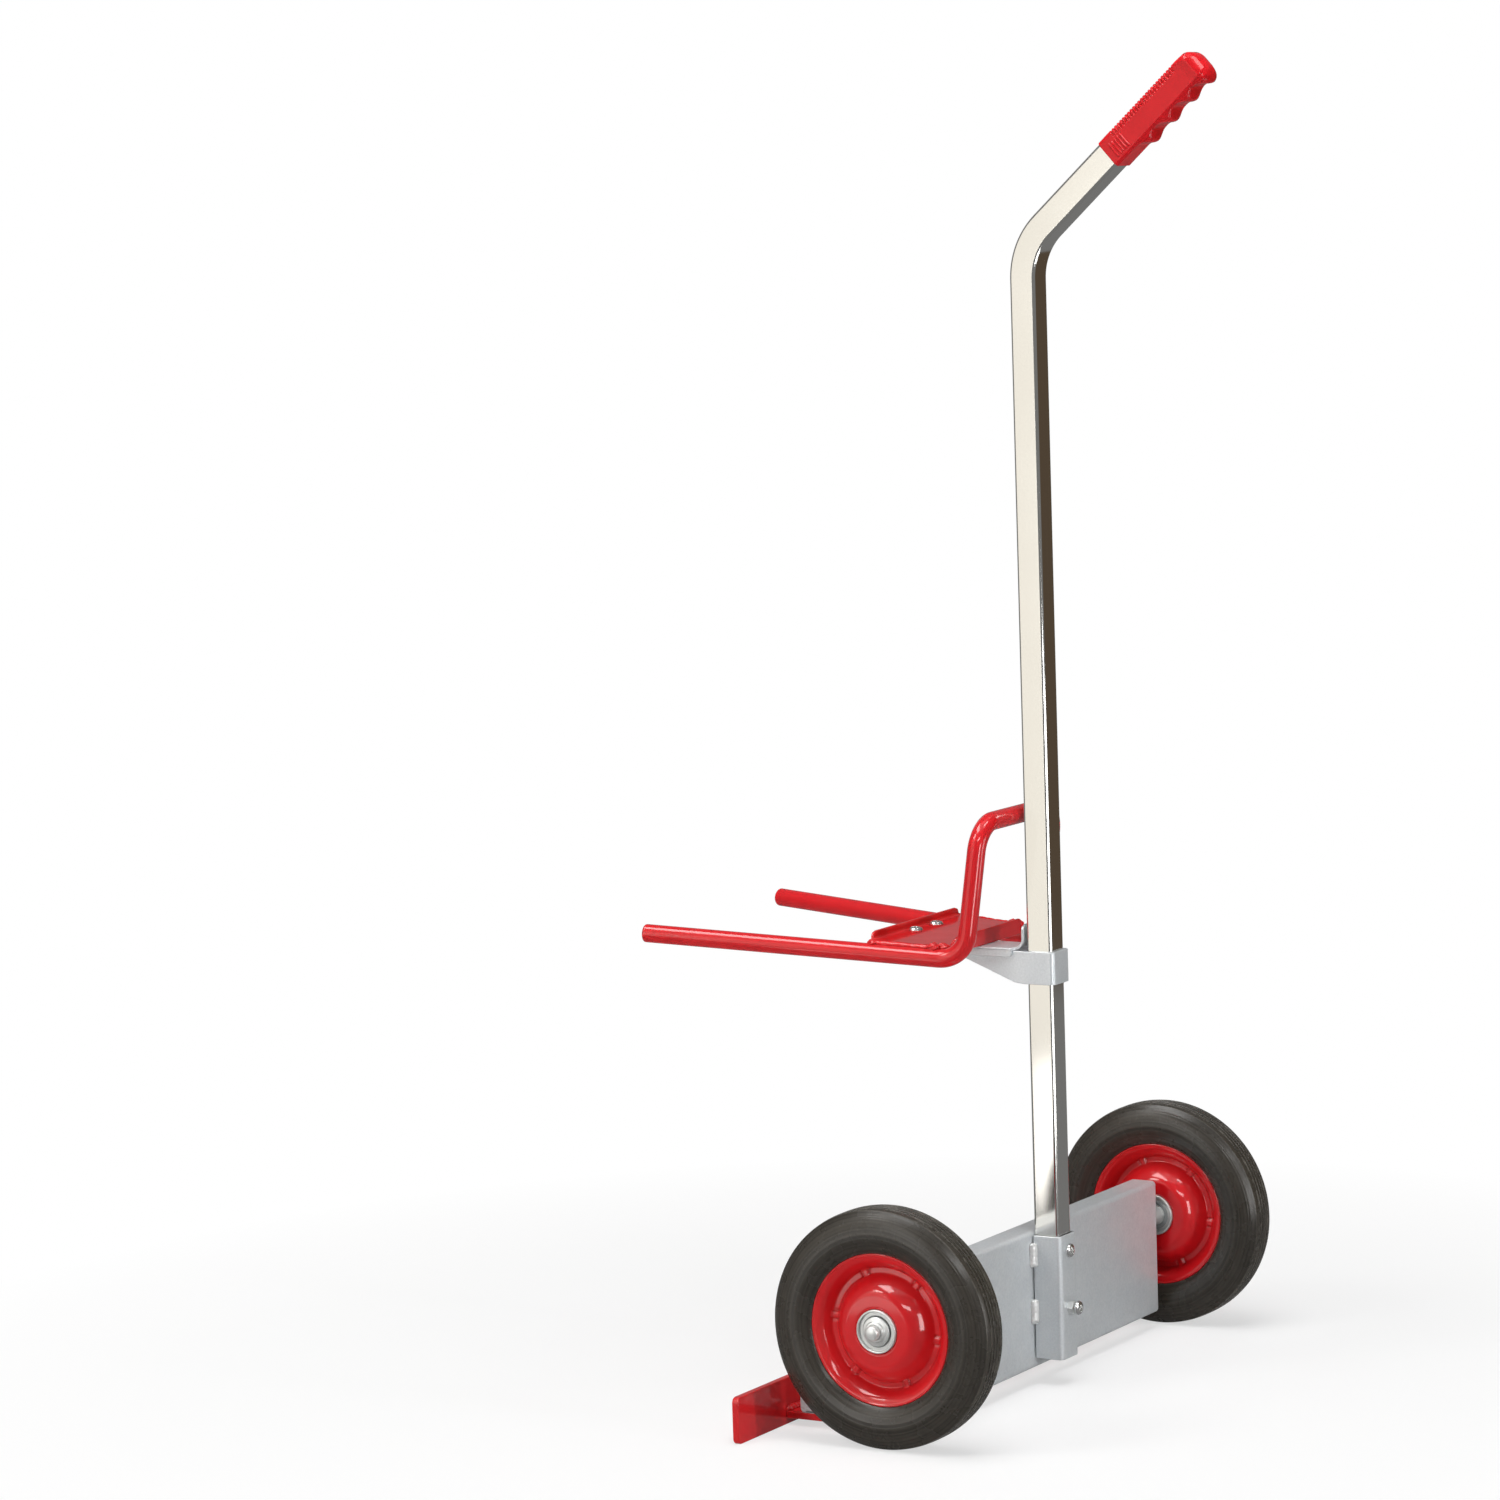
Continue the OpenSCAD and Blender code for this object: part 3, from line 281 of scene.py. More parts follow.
def facing_back(y0, z0):
    """Map for a shape that stands on Z so that it points along +Y."""
    return lambda p: np.column_stack([p[:, 0], y0 + p[:, 2], z0 - p[:, 1]])


def tilted(angle, y0, z0):
    """Map from a frame at y0 and z0 that is turned about X: by the angle, its Y goes down and its Z back."""
    c, s = math.cos(angle), math.sin(angle)
    return lambda p: np.column_stack(
        [p[:, 0], y0 + p[:, 1] * c + p[:, 2] * s, z0 - p[:, 1] * s + p[:, 2] * c])


in_fork = tilted(PITCH, HEEL_Y, HEEL_Z)  # the fork's frame, which rises with the arms from the heel
in_handle = tilted(MAST_BEND, MAST_Y, MAST_CORNER_Z)  # Z along the handle from the mast's sharp corner


# Shader effects that several finishes share

FLOAT, COLOR = "NodeSocketFloat", "NodeSocketColor"
MIX_A, MIX_B, MIX_RESULT = 6, 7, 2  # sockets of a mix of colours


def setup(node, **values):
    """The node with some of its properties or inputs set."""
    for key, value in values.items():
        if hasattr(node, key):
            setattr(node, key, value)
        else:
            node.inputs[key.replace("_", " ")].default_value = value
    return node


def add(tree, kind, **values):
    """A new shader node with some of its properties or inputs set."""
    return setup(tree.nodes.new(f"ShaderNode{kind}"), **values)


def wire(tree, *links):
    """Links between nodes, each given as a node, its output, the next node and its input."""
    for source, output, target, entry in links:
        tree.links.new(source.outputs[output], target.inputs[entry])


def effect(name, inputs, output):
    """An empty node group with its sockets, and its two end nodes."""
    tree = bpy.data.node_groups.new(name, "ShaderNodeTree")
    for key, (kind, value) in inputs.items():
        socket = tree.interface.new_socket(name=key, in_out="INPUT", socket_type=kind)
        socket.default_value = value
    for key, kind in output.items():
        tree.interface.new_socket(name=key, in_out="OUTPUT", socket_type=kind)
    return tree, tree.nodes.new("NodeGroupInput"), tree.nodes.new("NodeGroupOutput")


def grain_effect():
    """Noise of a given scale, mapped to run from Low to High."""
    tree, start, end = effect(
        "grain", {"Scale": (FLOAT, 100.0), "Low": (FLOAT, 0.0), "High": (FLOAT, 1.0)}, {"Value": FLOAT})
    place = add(tree, "TexCoord")
    noise = add(tree, "TexNoise", Detail=4.0)
    span = add(tree, "MapRange", From_Min=0.3, From_Max=0.7)
    wire(tree, (place, "Object", noise, "Vector"), (start, "Scale", noise, "Scale"),
         (noise, 0, span, "Value"), (start, "Low", span, "To Min"), (start, "High", span, "To Max"),
         (span, "Result", end, "Value"))
    return tree


def tint_effect(name, scale, attribute=None, low_z=None):
    """One colour over another, in patches of noise, only on edges or only near the floor."""
    white = (1, 1, 1, 1)
    tree, start, end = effect(
        name, {"Color": (COLOR, white), "Over": (COLOR, white), "Amount": (FLOAT, 0.5)}, {"Color": COLOR})
    place = add(tree, "TexCoord")
    noise = add(tree, "TexNoise", Scale=scale, Detail=5.0, Roughness=0.65)
    patch = add(tree, "MapRange", From_Min=0.42, From_Max=0.66)
    fac = add(tree, "Math", operation="MULTIPLY")
    limited = add(tree, "Math", operation="MULTIPLY")
    mix = add(tree, "Mix", data_type="RGBA")
    if attribute:
        edge = add(tree, "Attribute", attribute_name=attribute)
        limit = add(tree, "MapRange", From_Min=0.45, From_Max=0.95)
        wire(tree, (edge, "Fac", limit, "Value"))
    else:
        parts = add(tree, "SeparateXYZ")
        limit = add(tree, "MapRange", From_Min=low_z, From_Max=0.0, To_Min=0.15, To_Max=1.0)
        wire(tree, (place, "Object", parts, 0), (parts, "Z", limit, "Value"))
    wire(tree, (place, "Object", noise, "Vector"), (noise, 0, patch, "Value"), (patch, "Result", fac, 0),
         (start, "Amount", fac, 1), (fac, 0, limited, 0), (limit, "Result", limited, 1),
         (limited, 0, mix, "Factor"), (start, "Color", mix, MIX_A), (start, "Over", mix, MIX_B),
         (mix, MIX_RESULT, end, "Color"))
    return tree


def ring_effect():
    """Noise that varies only with the distance from the axle, mapped to run from 0 to 1."""
    tree, start, end = effect("mould_rings", {"Scale": (FLOAT, 300.0)}, {"Value": FLOAT})
    place = add(tree, "TexCoord")
    offset = add(tree, "VectorMath", operation="SUBTRACT")
    offset.inputs[1].default_value = (0, AXLE_Y / PER_METRE, AXLE_Z / PER_METRE)
    across = add(tree, "VectorMath", operation="MULTIPLY")
    across.inputs[1].default_value = (0, 1, 1)
    radius = add(tree, "VectorMath", operation="LENGTH")
    noise = add(tree, "TexNoise", noise_dimensions="1D", Detail=3.0)
    span = add(tree, "MapRange", From_Min=0.35, From_Max=0.65)
    wire(tree, (place, "Object", offset, 0), (offset, "Vector", across, 0), (across, "Vector", radius, 0),
         (radius, "Value", noise, "W"), (start, "Scale", noise, "Scale"), (noise, 0, span, "Value"),
         (span, "Result", end, "Value"))
    return tree


GRAIN = grain_effect()
RINGS = ring_effect()
# Lighter edges: wear, and on the tyre also a painted highlight along the rib edges
EDGE_WEAR_AND_HIGHLIGHT = tint_effect("edge_wear_and_highlight", 60.0, attribute="edge")
DUST = tint_effect("floor_dust", 9.0, low_z=0.45)


def use(tree, group, color=None, **values):
    """Output of a shared effect, laid over a colour where there is one."""
    node = add(tree, "Group", node_tree=group, **values)
    if color:
        tree.links.new(color, node.inputs["Color"])
    return node.outputs[0]


def node_material(name):
    """A new material and its node tree."""
    material = bpy.data.materials.new(name)
    material.use_nodes = True
    return material, material.node_tree


def finish_material(name, dark, light, rough, patch=None, rings=None, metallic=0.0, coat=0.0, coat_rough=0.05,
                    specular=0.5, bump=None, wear_and_highlight=None, dust=None):
    """Procedural finish: two tones in patches or rings, lighter edges for wear (on the tyre also a painted
    highlight), dust, uneven gloss and a fine bump.

    rough holds the lowest and the highest roughness and their scale, patch the scale of the patches, bump and
    rings a scale, a strength and a distance, and the edge tint and dust a colour and an amount; on the tyre
    the edge tint is partly a painted highlight along the rib edges.
    """
    material, tree = node_material(name)
    link = tree.links.new
    shader = setup(tree.nodes["Principled BSDF"], Metallic=metallic, Coat_Weight=coat,
                   Coat_Roughness=coat_rough, Specular_IOR_Level=specular)
    ramp = add(tree, "Mix", data_type="RGBA")
    ramp.inputs[MIX_A].default_value = (*dark, 1)
    ramp.inputs[MIX_B].default_value = (*light, 1)
    tone = use(tree, RINGS, Scale=rings[0]) if rings else use(tree, GRAIN, Scale=patch)
    link(tone, ramp.inputs["Factor"])
    color = ramp.outputs[MIX_RESULT]
    for group, layer in ((EDGE_WEAR_AND_HIGHLIGHT, wear_and_highlight), (DUST, dust)):
        if layer:
            over, amount = layer
            color = use(tree, group, color, Over=(*over, 1), Amount=amount)
    link(color, shader.inputs["Base Color"])
    low, high, scale = rough
    link(use(tree, GRAIN, Scale=scale, Low=low, High=high), shader.inputs["Roughness"])
    if bump:
        scale, strength, distance = bump
        fine = add(tree, "Bump", Strength=strength, Distance=distance)
        link(use(tree, GRAIN, Scale=scale), fine.inputs["Height"])
        link(fine.outputs["Normal"], shader.inputs["Normal"])
        if rings:
            _, strength, distance = rings
            ridges = add(tree, "Bump", Strength=strength, Distance=distance)
            link(tone, ridges.inputs["Height"])
            link(ridges.outputs["Normal"], fine.inputs["Normal"])
    return material


# The first seven are named as the part's material slots
FINISHES = {
    "red_paint": dict(
        dark=(0.60, 0.006, 0.010), light=(0.67, 0.008, 0.013), patch=14, rough=(0.30, 0.38, 40), coat=0.9,
        coat_rough=0.07, specular=0.1, bump=(160, 0.003, 0.0003), wear_and_highlight=((0.62, 0.10, 0.09), 0.25),
        dust=((0.40, 0.16, 0.14), 0.08)),
    "grey_paint": dict(
        dark=(0.60, 0.635, 0.66), light=(0.68, 0.715, 0.74), patch=520, rough=(0.34, 0.44, 90), metallic=0.35,
        coat=0.25, coat_rough=0.12, bump=(900, 0.05, 0.0003), wear_and_highlight=((0.80, 0.81, 0.81), 0.5),
        dust=((0.50, 0.49, 0.47), 0.12)),
    "chrome": dict(
        dark=(0.76, 0.75, 0.72), light=(0.79, 0.78, 0.75), patch=500, rough=(0.10, 0.13, 12), metallic=1.0,
        bump=(60, 0.001, 0.0002)),
    "zinc": dict(
        dark=(0.66, 0.67, 0.66), light=(0.74, 0.75, 0.735), patch=90, rough=(0.32, 0.38, 60), metallic=0.65,
        bump=(500, 0.012, 0.0002), wear_and_highlight=((0.80, 0.80, 0.78), 0.4)),
    "weld_metal": dict(
        dark=(0.76, 0.76, 0.75), light=(0.90, 0.90, 0.89), patch=260, rough=(0.30, 0.42, 300), metallic=0.35,
        bump=(500, 0.08, 0.0005)),
    "tyre_rubber": dict(
        dark=(0.025, 0.0215, 0.017), light=(0.046, 0.040, 0.032), rings=(420.0, 0.25, 0.0003),
        # the light edge tint is partly rubbed rubber and partly a painted highlight along the rib and groove
        # edges
        rough=(0.24, 0.31, 60), specular=0.4, bump=(1200, 0.04, 0.0003), wear_and_highlight=((0.17, 0.152, 0.13), 0.8),
        dust=((0.11, 0.097, 0.078), 0.13)),
    "grip_vinyl": dict(
        dark=(0.52, 0.006, 0.010), light=(0.59, 0.008, 0.013), patch=30, rough=(0.30, 0.38, 60), coat=0.45,
        coat_rough=0.05, specular=0.05, bump=(120, 0.003, 0.0003), wear_and_highlight=((0.70, 0.12, 0.11), 0.2)),
    "bright_zinc": dict(
        dark=(0.78, 0.78, 0.77), light=(0.84, 0.84, 0.83), patch=140, rough=(0.15, 0.20, 80), metallic=0.95,
        bump=(300, 0.008, 0.0002), wear_and_highlight=((0.80, 0.80, 0.78), 0.4)),
    "bearing_seal": dict(
        dark=(0.34, 0.36, 0.37), light=(0.44, 0.46, 0.465), patch=120, rough=(0.34, 0.45, 80), metallic=0.3),
}
MATERIALS = {name: finish_material(name, **values) for name, values in FINISHES.items()}


def new_object(name, data):
    """A new object in the scene."""
    obj = bpy.data.objects.new(name, data)
    bpy.context.scene.collection.objects.link(obj)
    return obj


def shading(mesh):
    """Normals at the points, weighted by face area so that flats stay flat, and how far the faces turn from
    them."""
    n = len(mesh.polygons)
    normal, area = np.empty(n * 3, np.float32), np.empty(n, np.float32)
    total, vertex = np.empty(n, np.int32), np.empty(len(mesh.loops), np.int32)
    for key, values in (("normal", normal), ("area", area), ("loop_total", total)):
        mesh.polygons.foreach_get(key, values)
    mesh.loops.foreach_get("vertex_index", vertex)
    normal = normal.reshape(-1, 3)
    face = np.repeat(np.arange(n), total)
    summed = np.zeros((len(mesh.vertices), 3))
    np.add.at(summed, vertex, (normal * area[:, None])[face])
    summed /= np.maximum(np.linalg.norm(summed, axis=1, keepdims=True), 1e-12)
    turn = np.zeros(len(summed))
    np.maximum.at(turn, vertex, np.arccos(np.clip(np.sum(summed[vertex] * normal[face], 1), -1, 1)))
    return summed, turn


def piece(name, parts, slot, body, *replaced, material=None):
    """One mesh from several parts. Its value 'edge' is high where faces turn from the normal at a point."""
    points, faces = [], []
    base = 0
    for p, f in parts:
        points.append(p / PER_METRE)
        faces += [tuple(i + base for i in q) for q in f]
        base += len(p)
    mesh = bpy.data.meshes.new(name)
    mesh.from_pydata(np.concatenate(points).tolist(), [], faces)
    normals, turn = shading(mesh)
    edge = mesh.attributes.new("edge", "FLOAT", "POINT")
    edge.data.foreach_set("value", np.clip(turn / EDGE_TURN, 0, 1).astype(np.float32))
    mesh.polygons.foreach_set("use_smooth", np.ones(len(mesh.polygons), bool))
    mesh.normals_split_custom_set_from_vertices(normals.tolist())
    mesh.materials.append(MATERIALS[material or slot])
    obj = new_object(name, mesh)
    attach(obj, body)
    if replaced:
        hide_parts(*replaced)
    return obj


# Frame: channel, cheeks, socket, mast, toe bar and welds

def channel():
    """Sheet bent to a C, with round bends and slightly rounded free edges."""
    outer, inner, edge = 4.0, 1.5, 0.6
    front, low, top, t = CHANNEL_FRONT, CHANNEL_LOW, CHANNEL_TOP, SHEET_T
    outline = rounded([(front, low), (WEB_BACK, low), (WEB_BACK, top), (front, top), (front, top - t),
                       (WEB_FRONT, top - t), (WEB_FRONT, low + t), (front, low + t)],
                      [edge, outer, outer, edge, edge, inner, inner, edge])
    return [moved(prism(outline, 2 * CHANNEL_HALF, edge), along_x(-CHANNEL_HALF))]


def cheek():
    """Sheet whose outline steps down to the toe plate, with a foot flange along its lower edge."""
    t, edge, seat_z = SHEET_T, 0.6, TOE_PLATE_TOP
    low, top, back, step = 17.55, 133.45, 129.15, 108.35
    nose, nose_top, foot_front, foot_w = 17.5, 50.0, 22.0, 26.0
    outline = rounded([(foot_front, seat_z), (step, seat_z), (step, low), (back, low), (back, top),
                       (step, top), (nose, nose_top), (nose, seat_z)], [0, 0.5, 0.5, 2, 2, 3, 6, 4])
    foot = prism(box_outline(CHANNEL_HALF - foot_w, seat_z, CHANNEL_HALF, seat_z + t, edge),
                 TOE_PLATE_BACK - foot_front, edge)
    side = prism(outline, t, edge)
    return [moved(side, along_x(CHANNEL_HALF - t)), moved(foot, along_back(TOE_PLATE_BACK))]


def socket():
    """Sheet folded to a U round the mast, with a seam between its free edges and the channel."""
    a, b, t = SOCKET_HALF, SOCKET_BACK, SOCKET_T
    outer, inner, edge, bevel = 4.5, 1.5, 0.5, 0.7
    seam = WEB_BACK + 1.1
    outline = rounded([(-a, seam), (-a + t, seam), (-a + t, b - t), (a - t, b - t), (a - t, seam),
                       (a, seam), (a, b), (-a, b)], [edge, edge, inner, inner, edge, edge, outer, outer], 8)
    return [moved(prism(outline, SOCKET_TOP - SOCKET_LOW, bevel), shift(z=SOCKET_LOW))]


def mast():
    """Rounded square carried up the mast, round the bend and along the handle."""
    corner, bevel = 2.8, 0.6
    end = in_handle(np.array([[0, 0, HANDLE_END]]))[0]
    path = bent_path([(0, MAST_Y, MAST_LOW), (0, MAST_Y, MAST_CORNER_Z), end], [MAST_BEND_R], 2)
    section = box_outline(-MAST_HALF, -MAST_HALF, MAST_HALF, MAST_HALF, corner)
    return [swept(path, section, (0, -1, 0), bevel)]


def toe_bar():
    """Flat bar on edge with round corners."""
    corner, bevel = 5.0, 0.9
    outline = box_outline(-TOE_HALF, 0, TOE_HALF, TOE_H, corner, 8)
    return [moved(prism(outline, TOE_T, bevel), along_back(TOE_BACK))]


def toe_plate():
    """Flat plate from the toe bar back under the cheeks."""
    corner, bevel = 2.0, 0.7
    outline = box_outline(-CHANNEL_HALF, TOE_BACK, CHANNEL_HALF, TOE_PLATE_BACK, corner)
    return [moved(prism(outline, TOE_PLATE_TOP - TOE_PLATE_LOW, bevel), shift(z=TOE_PLATE_LOW))]


def bead(start, stop, out1, out2, r, pitch, n=None, taper=0.9, ripple=0.14):
    """Weld in a square corner: quarter circles between two directions whose radius ripples along the run and
    falls off to its ends, like overlapping scales."""
    sink, lean, least, sharp = 0.15, 0.25, 0.0016, 0.7
    start, stop, out1, out2 = (np.asarray(v, float) for v in (start, stop, out1, out2))
    length = np.linalg.norm(stop - start)
    n = n or max(24, int(length / pitch * 10))
    s = np.linspace(0, 1, n)
    scales = s * length / pitch
    end = np.clip(np.minimum(s, 1 - s) * length / (r * taper), 0, 1)
    size = r * np.sqrt(np.maximum(1 - (1 - end) ** 2, least))
    size *= 1 - ripple + ripple * np.sin(np.pi * (scales % 1)) ** sharp
    # A slow unevenness on top of the scales
    size *= 1 + 0.6 * ripple * np.sin(1.9 * scales + 1) * np.sin(0.7 * scales)
    a = np.linspace(0, np.pi / 2, 10)
    ring = np.array([-sink * (out1 + out2)] + [np.cos(k) * out1 + np.sin(k) * out2 for k in a])
    ring += lean * np.sin(2 * np.concatenate([[0], a]))[:, None] * (stop - start) / length
    grid = (start + s[:, None] * (stop - start))[:, None] + size[:, None, None] * ring
    return skin(grid, caps=True)


def socket_welds():
    """Two stitch welds in each corner between the socket and the channel's web."""
    lows, length, r, pitch = (54.4, 104.3), 22.0, 5.4, 4.5
    return both([bead((SOCKET_HALF, WEB_BACK, z), (SOCKET_HALF, WEB_BACK, z + length), (1, 0, 0), (0, 1, 0),
                      r, pitch, taper=0.5, ripple=0.03) for z in lows])


def toe_weld():
    """Ripple weld along the corner between the toe bar and the toe plate."""
    r, pitch, rings = 4.2, 5.0, 900
    left, right = ((x, TOE_BACK, TOE_PLATE_TOP) for x in (-CHANNEL_HALF, CHANNEL_HALF))
    return [bead(left, right, (0, 1, 0), (0, 0, 1), r, pitch, rings)]


# Wheels

def tyre_profile():
    """Half section from the seat to the crown, mirrored: an arc for a side, with faint rings, and a slightly
    arched crown with four grooves."""
    bulge, radius, offset = 82.0, 27.29, 6.79
    rings = ((96.4, 0.30, 0.55), (93.8, 0.22, 0.5), (70.5, -0.25, 0.8), (67.2, 0.2, 0.9))
    crown_r, crown_half, arch = 101.55, 12.2, 0.75
    grooves, depth, mouth, bed = (2.44, 7.32), 1.6, 1.0, 0.4
    r = np.concatenate([np.linspace(64.8, 97, 44), np.linspace(97.4, 100.7, 12)])
    x = np.sqrt(radius ** 2 - (r - bulge) ** 2) - offset
    x += sum(height * bell(r, place, width) for place, height, width in rings)
    across = np.linspace(12.1, 0, 44)
    crown = crown_r - arch * (across / crown_half) ** 4
    for g in grooves:
        crown -= depth * band(across, g - mouth, g - bed, g + bed, g + mouth)
    seat = np.array([[5.4, 58.0], [12.0, 64.4], [13.6, 64.6]])
    half = np.concatenate([seat, np.column_stack([x, r]), np.column_stack([across, crown])])
    return np.concatenate([half * np.array([-1, 1]), half[::-1][1:]])


def disc_profile():
    """Face of a pressed disc from the rolled rim edge in: a slope and a dome, each one less a power of what
    is left of its run, with a flat ring between them, a running mean for the fillets, and a flat boss turned
    in at the sleeve."""
    roll_x, roll_r, roll = 13.3, 63.4, 1.25
    slope_r, slope_h, slope_power = 62.8, 11.6, 1.9
    dome_r, dome_h, dome_power = 29.0, 16.8, 1.75
    ring_x, fillet = 2.2, 7
    boss_x, boss_r, sleeve_r, turn_r, turn_in = 19.0, 26.0, 18.6, 20.4, 0.9
    k = np.linspace(-0.5, 1.0, 9) * np.pi / 2
    rim = np.column_stack([roll_x + roll * np.sin(k), roll_r + roll * np.cos(k)])
    r = np.linspace(62.6, 26.6, 145)
    slope = slope_h * (1 - np.clip((slope_r - r) / (slope_r - RING_OUT), 0, 1) ** slope_power)
    dome = dome_h * (1 - np.clip((r - dome_r) / (RING_IN - dome_r), 0, 1) ** dome_power)
    x = ring_x + np.where(r > RING_OUT, slope, 0) + np.where(r < RING_IN, dome, 0)
    x = np.convolve(np.pad(x, fillet // 2, mode="edge"), np.ones(fillet) / fillet, "valid")
    face = np.column_stack([x, r])
    r = np.linspace(boss_r, sleeve_r, 12)
    boss = np.column_stack([boss_x - turn_in * smooth(-r, -turn_r, -sleeve_r), r])
    back = np.array([[17.0, 18.6], [17.0, 29.5], [13.0, 37.0], [0.1, 45.0], [0.1, 52.5], [11.6, 63.2]])
    return np.concatenate([rim, face, boss, back])


def tabs(r, t):
    """Six crimped tabs across the ring, each a raised block with a slot on both sides."""
    pitch, first = np.pi / 3, 0.668
    height, depth, slot_at, slot_w = 1.1, 1.5, 0.078, 0.012
    a = (t + first) % pitch - pitch / 2
    block = band(a, -0.062, -0.045, 0.045, 0.062)
    slots = bell(a, slot_at, slot_w) + 0.6 * bell(a, -slot_at, slot_w)
    ring = band(r, RING_IN - 0.8, RING_IN + 0.4, RING_OUT, RING_OUT + 1.4)
    return (height * block - depth * slots) * ring


def wheel(side, body):
    """The pieces of one wheel, placed on its side of the trolley."""
    def put(part):
        """The part on this wheel's side."""
        part = moved(part, shift(x=WHEEL_X))
        return part if side > 0 else mirrored(part)

    name = "right" if side > 0 else "left"
    piece(f"wheel_tyre_{name}", [put(turned(tyre_profile(), 200))], "tyre_rubber", body, f"tyre_{name}")
    disc = turned(disc_profile(), 360, wobble=tabs)
    piece(f"wheel_disc_outer_{name}", [put(disc)], "red_paint", body, f"hub_outer_disc_{name}")
    piece(f"wheel_disc_inner_{name}", [put(mirrored(disc))], "red_paint", body, f"hub_inner_disc_{name}")
    lip = np.linspace(0, np.pi, 9)
    end = np.column_stack([19.7 + 0.8 * np.sin(lip), 17.5 + 1.0 * np.cos(lip)])
    sleeve = np.concatenate([(end * np.array([-1, 1]))[::-1], end])
    piece(f"wheel_sleeve_{name}", [put(turned(sleeve, 96))], "zinc", body, f"hub_sleeve_{name}")
    seal = turned([(17.2, 13.6), (17.2, 12.9), (16.7, 12.4), (16.7, 10.6), (17.0, 10.0), (17.0, 9.5),
                   (16.2, 9.5), (16.2, 13.6)], 72)
    piece(f"wheel_seals_{name}", [put(seal), put(mirrored(seal))], "zinc", body, material="bearing_seal")
    nut = rounded([(18.0, 6.5), (18.0, 12.5), (20.6, 12.5), (21.0, 9.2), (23.3, 8.5), (23.5, 6.5)],
                  [0, 0.4, 1.2, 1.0, 0.8, 0.4], 5)
    piece(f"push_nut_cap_{name}", [put(turned(nut, 96))], "zinc", "frame", f"push_nut_{name}")


def axle():
    """Round bar with rounded ends and a ring groove near each end."""
    half, r = 287.5, 6.35
    end = ((5.2, r), (4.6, 5.7), (3.8, 5.7), (3.4, 6.3), (1.6, 6.2), (0.6, 5.5), (0, 4.2), (0, 0.05))
    right = np.array([(0, r)] + [(half - left, radius) for left, radius in end])
    mirror = (right * np.array([-1, 1]))[::-1]
    return [turned(np.concatenate([mirror, right[1:]]), 64, closed=False)]


# Grip

def grip_section(drop, flare, soft):
    """Outline across the grip from the middle of its top, in even steps: a rounded square whose low side is
    pushed down by drop over its middle, which makes the web for the fingers."""
    low_corner, web_rise, web_share, web_power = 3.0, 4.0, 0.93, 2.6
    a, top, low = GRIP_HALF + flare, -GRIP_HALF, GRIP_HALF
    outline = rounded([(0, top), (a, top), (a, low), (-a, low), (-a, top)],
                      [0, soft, low_corner, low_corner, soft], 12)
    closed = np.concatenate([outline, outline[:1]])
    run = run_along(closed)
    even = np.linspace(0, run[-1], 241)[:-1]
    x, y = (np.interp(even, run, closed[:, i]) for i in (0, 1))
    across = np.clip(np.abs(x) / (web_share * a), 0, 1)
    y += drop * smooth(y, low - web_rise, low) * np.sqrt(1 - across ** web_power)
    return np.column_stack([x, y])


def grip():
    """Sections along the handle. The web below waves with the cosine of the place along it for three finger
    ridges and swells to a flange, fine grooves cross the top and its edges, short ribs cross the sides near
    the foot, and the end closes in a superellipse."""
    ridge_at, ridge_pitch, ridge_h, ridge_power, flange_h, flange_flare = 36.0, 24.4, 5.6, 1.3, 5.9, 0.9
    groove_at, rib_at, fine_pitch, groove_depth, rib_h = 14.0, 5.5, 3.3, 1.15, 0.8
    corner, end_corner, dome, dome_power, least = 4.2, 3.4, 9.5, 2.1, 0.06
    body = GRIP_L - dome
    # Bands and rises below are given in millimetres along the grip (z and place) or across it (y)
    runs = ((0, 12, 26), (12, 95, 290), (95, body, 30))
    z = np.unique(np.concatenate([np.linspace(*run) for run in runs]))
    ridges = (1 - waves(z, ridge_at, ridge_pitch)) ** ridge_power * band(z, 23, 25, 94, 97)
    drop = ridge_h * ridges + flange_h * smooth(z, 96.5, 106.5)
    flare = flange_flare * smooth(z, 98, 107)
    soft = corner + end_corner * smooth(z, 97, 108)
    flat = np.array([grip_section(*v) for v in zip(drop, flare, soft)])
    out = flat - np.array([inset(ring, 1.0) for ring in flat])
    place = np.repeat(z[:, None], flat.shape[1], 1)
    y = flat[..., 1]
    grooves = smooth(waves(place, groove_at, fine_pitch), 0.30, 0.70)
    grooves = grooves * smooth(-y, 6.0, 7.6) * band(place, 13.2, 14.4, 92.6, 93.8)
    ribs = smooth(waves(place, rib_at, fine_pitch), 0.45, 0.80)
    ribs = ribs * band(place, 5.4, 5.6, 21.9, 22.1) * band(y, -5.0, -3.6, 8.0, 9.6)
    flat = flat + (rib_h * ribs - groove_depth * grooves)[..., None] * out
    rings = np.concatenate([flat, place[..., None]], -1)
    last = rings[-1]
    middle = np.array([0, (last[:, 1].min() + last[:, 1].max()) / 2, body])
    rise = np.sin(np.linspace(0, np.pi / 2, 22)[1:])
    scale = np.maximum(1 - rise ** dome_power, 0) ** (1 / dome_power)
    scale[-1] = least
    close = np.array([middle + (last - middle) * s + np.array([0, 0, dome * h]) for s, h in zip(scale, rise)])
    lip = rings[0] * np.array([0.985, 0.985, 1]) - np.array([0, 0, 0.3])
    mouth = rings[0] * np.array([0.925, 0.925, 1]) + np.array([0, 0, 0.5])
    full = np.concatenate([mouth[None], lip[None], rings, close])
    return [moved(moved(skin(full, caps=True), shift(z=GRIP_FOOT)), in_handle)]


# Carriage

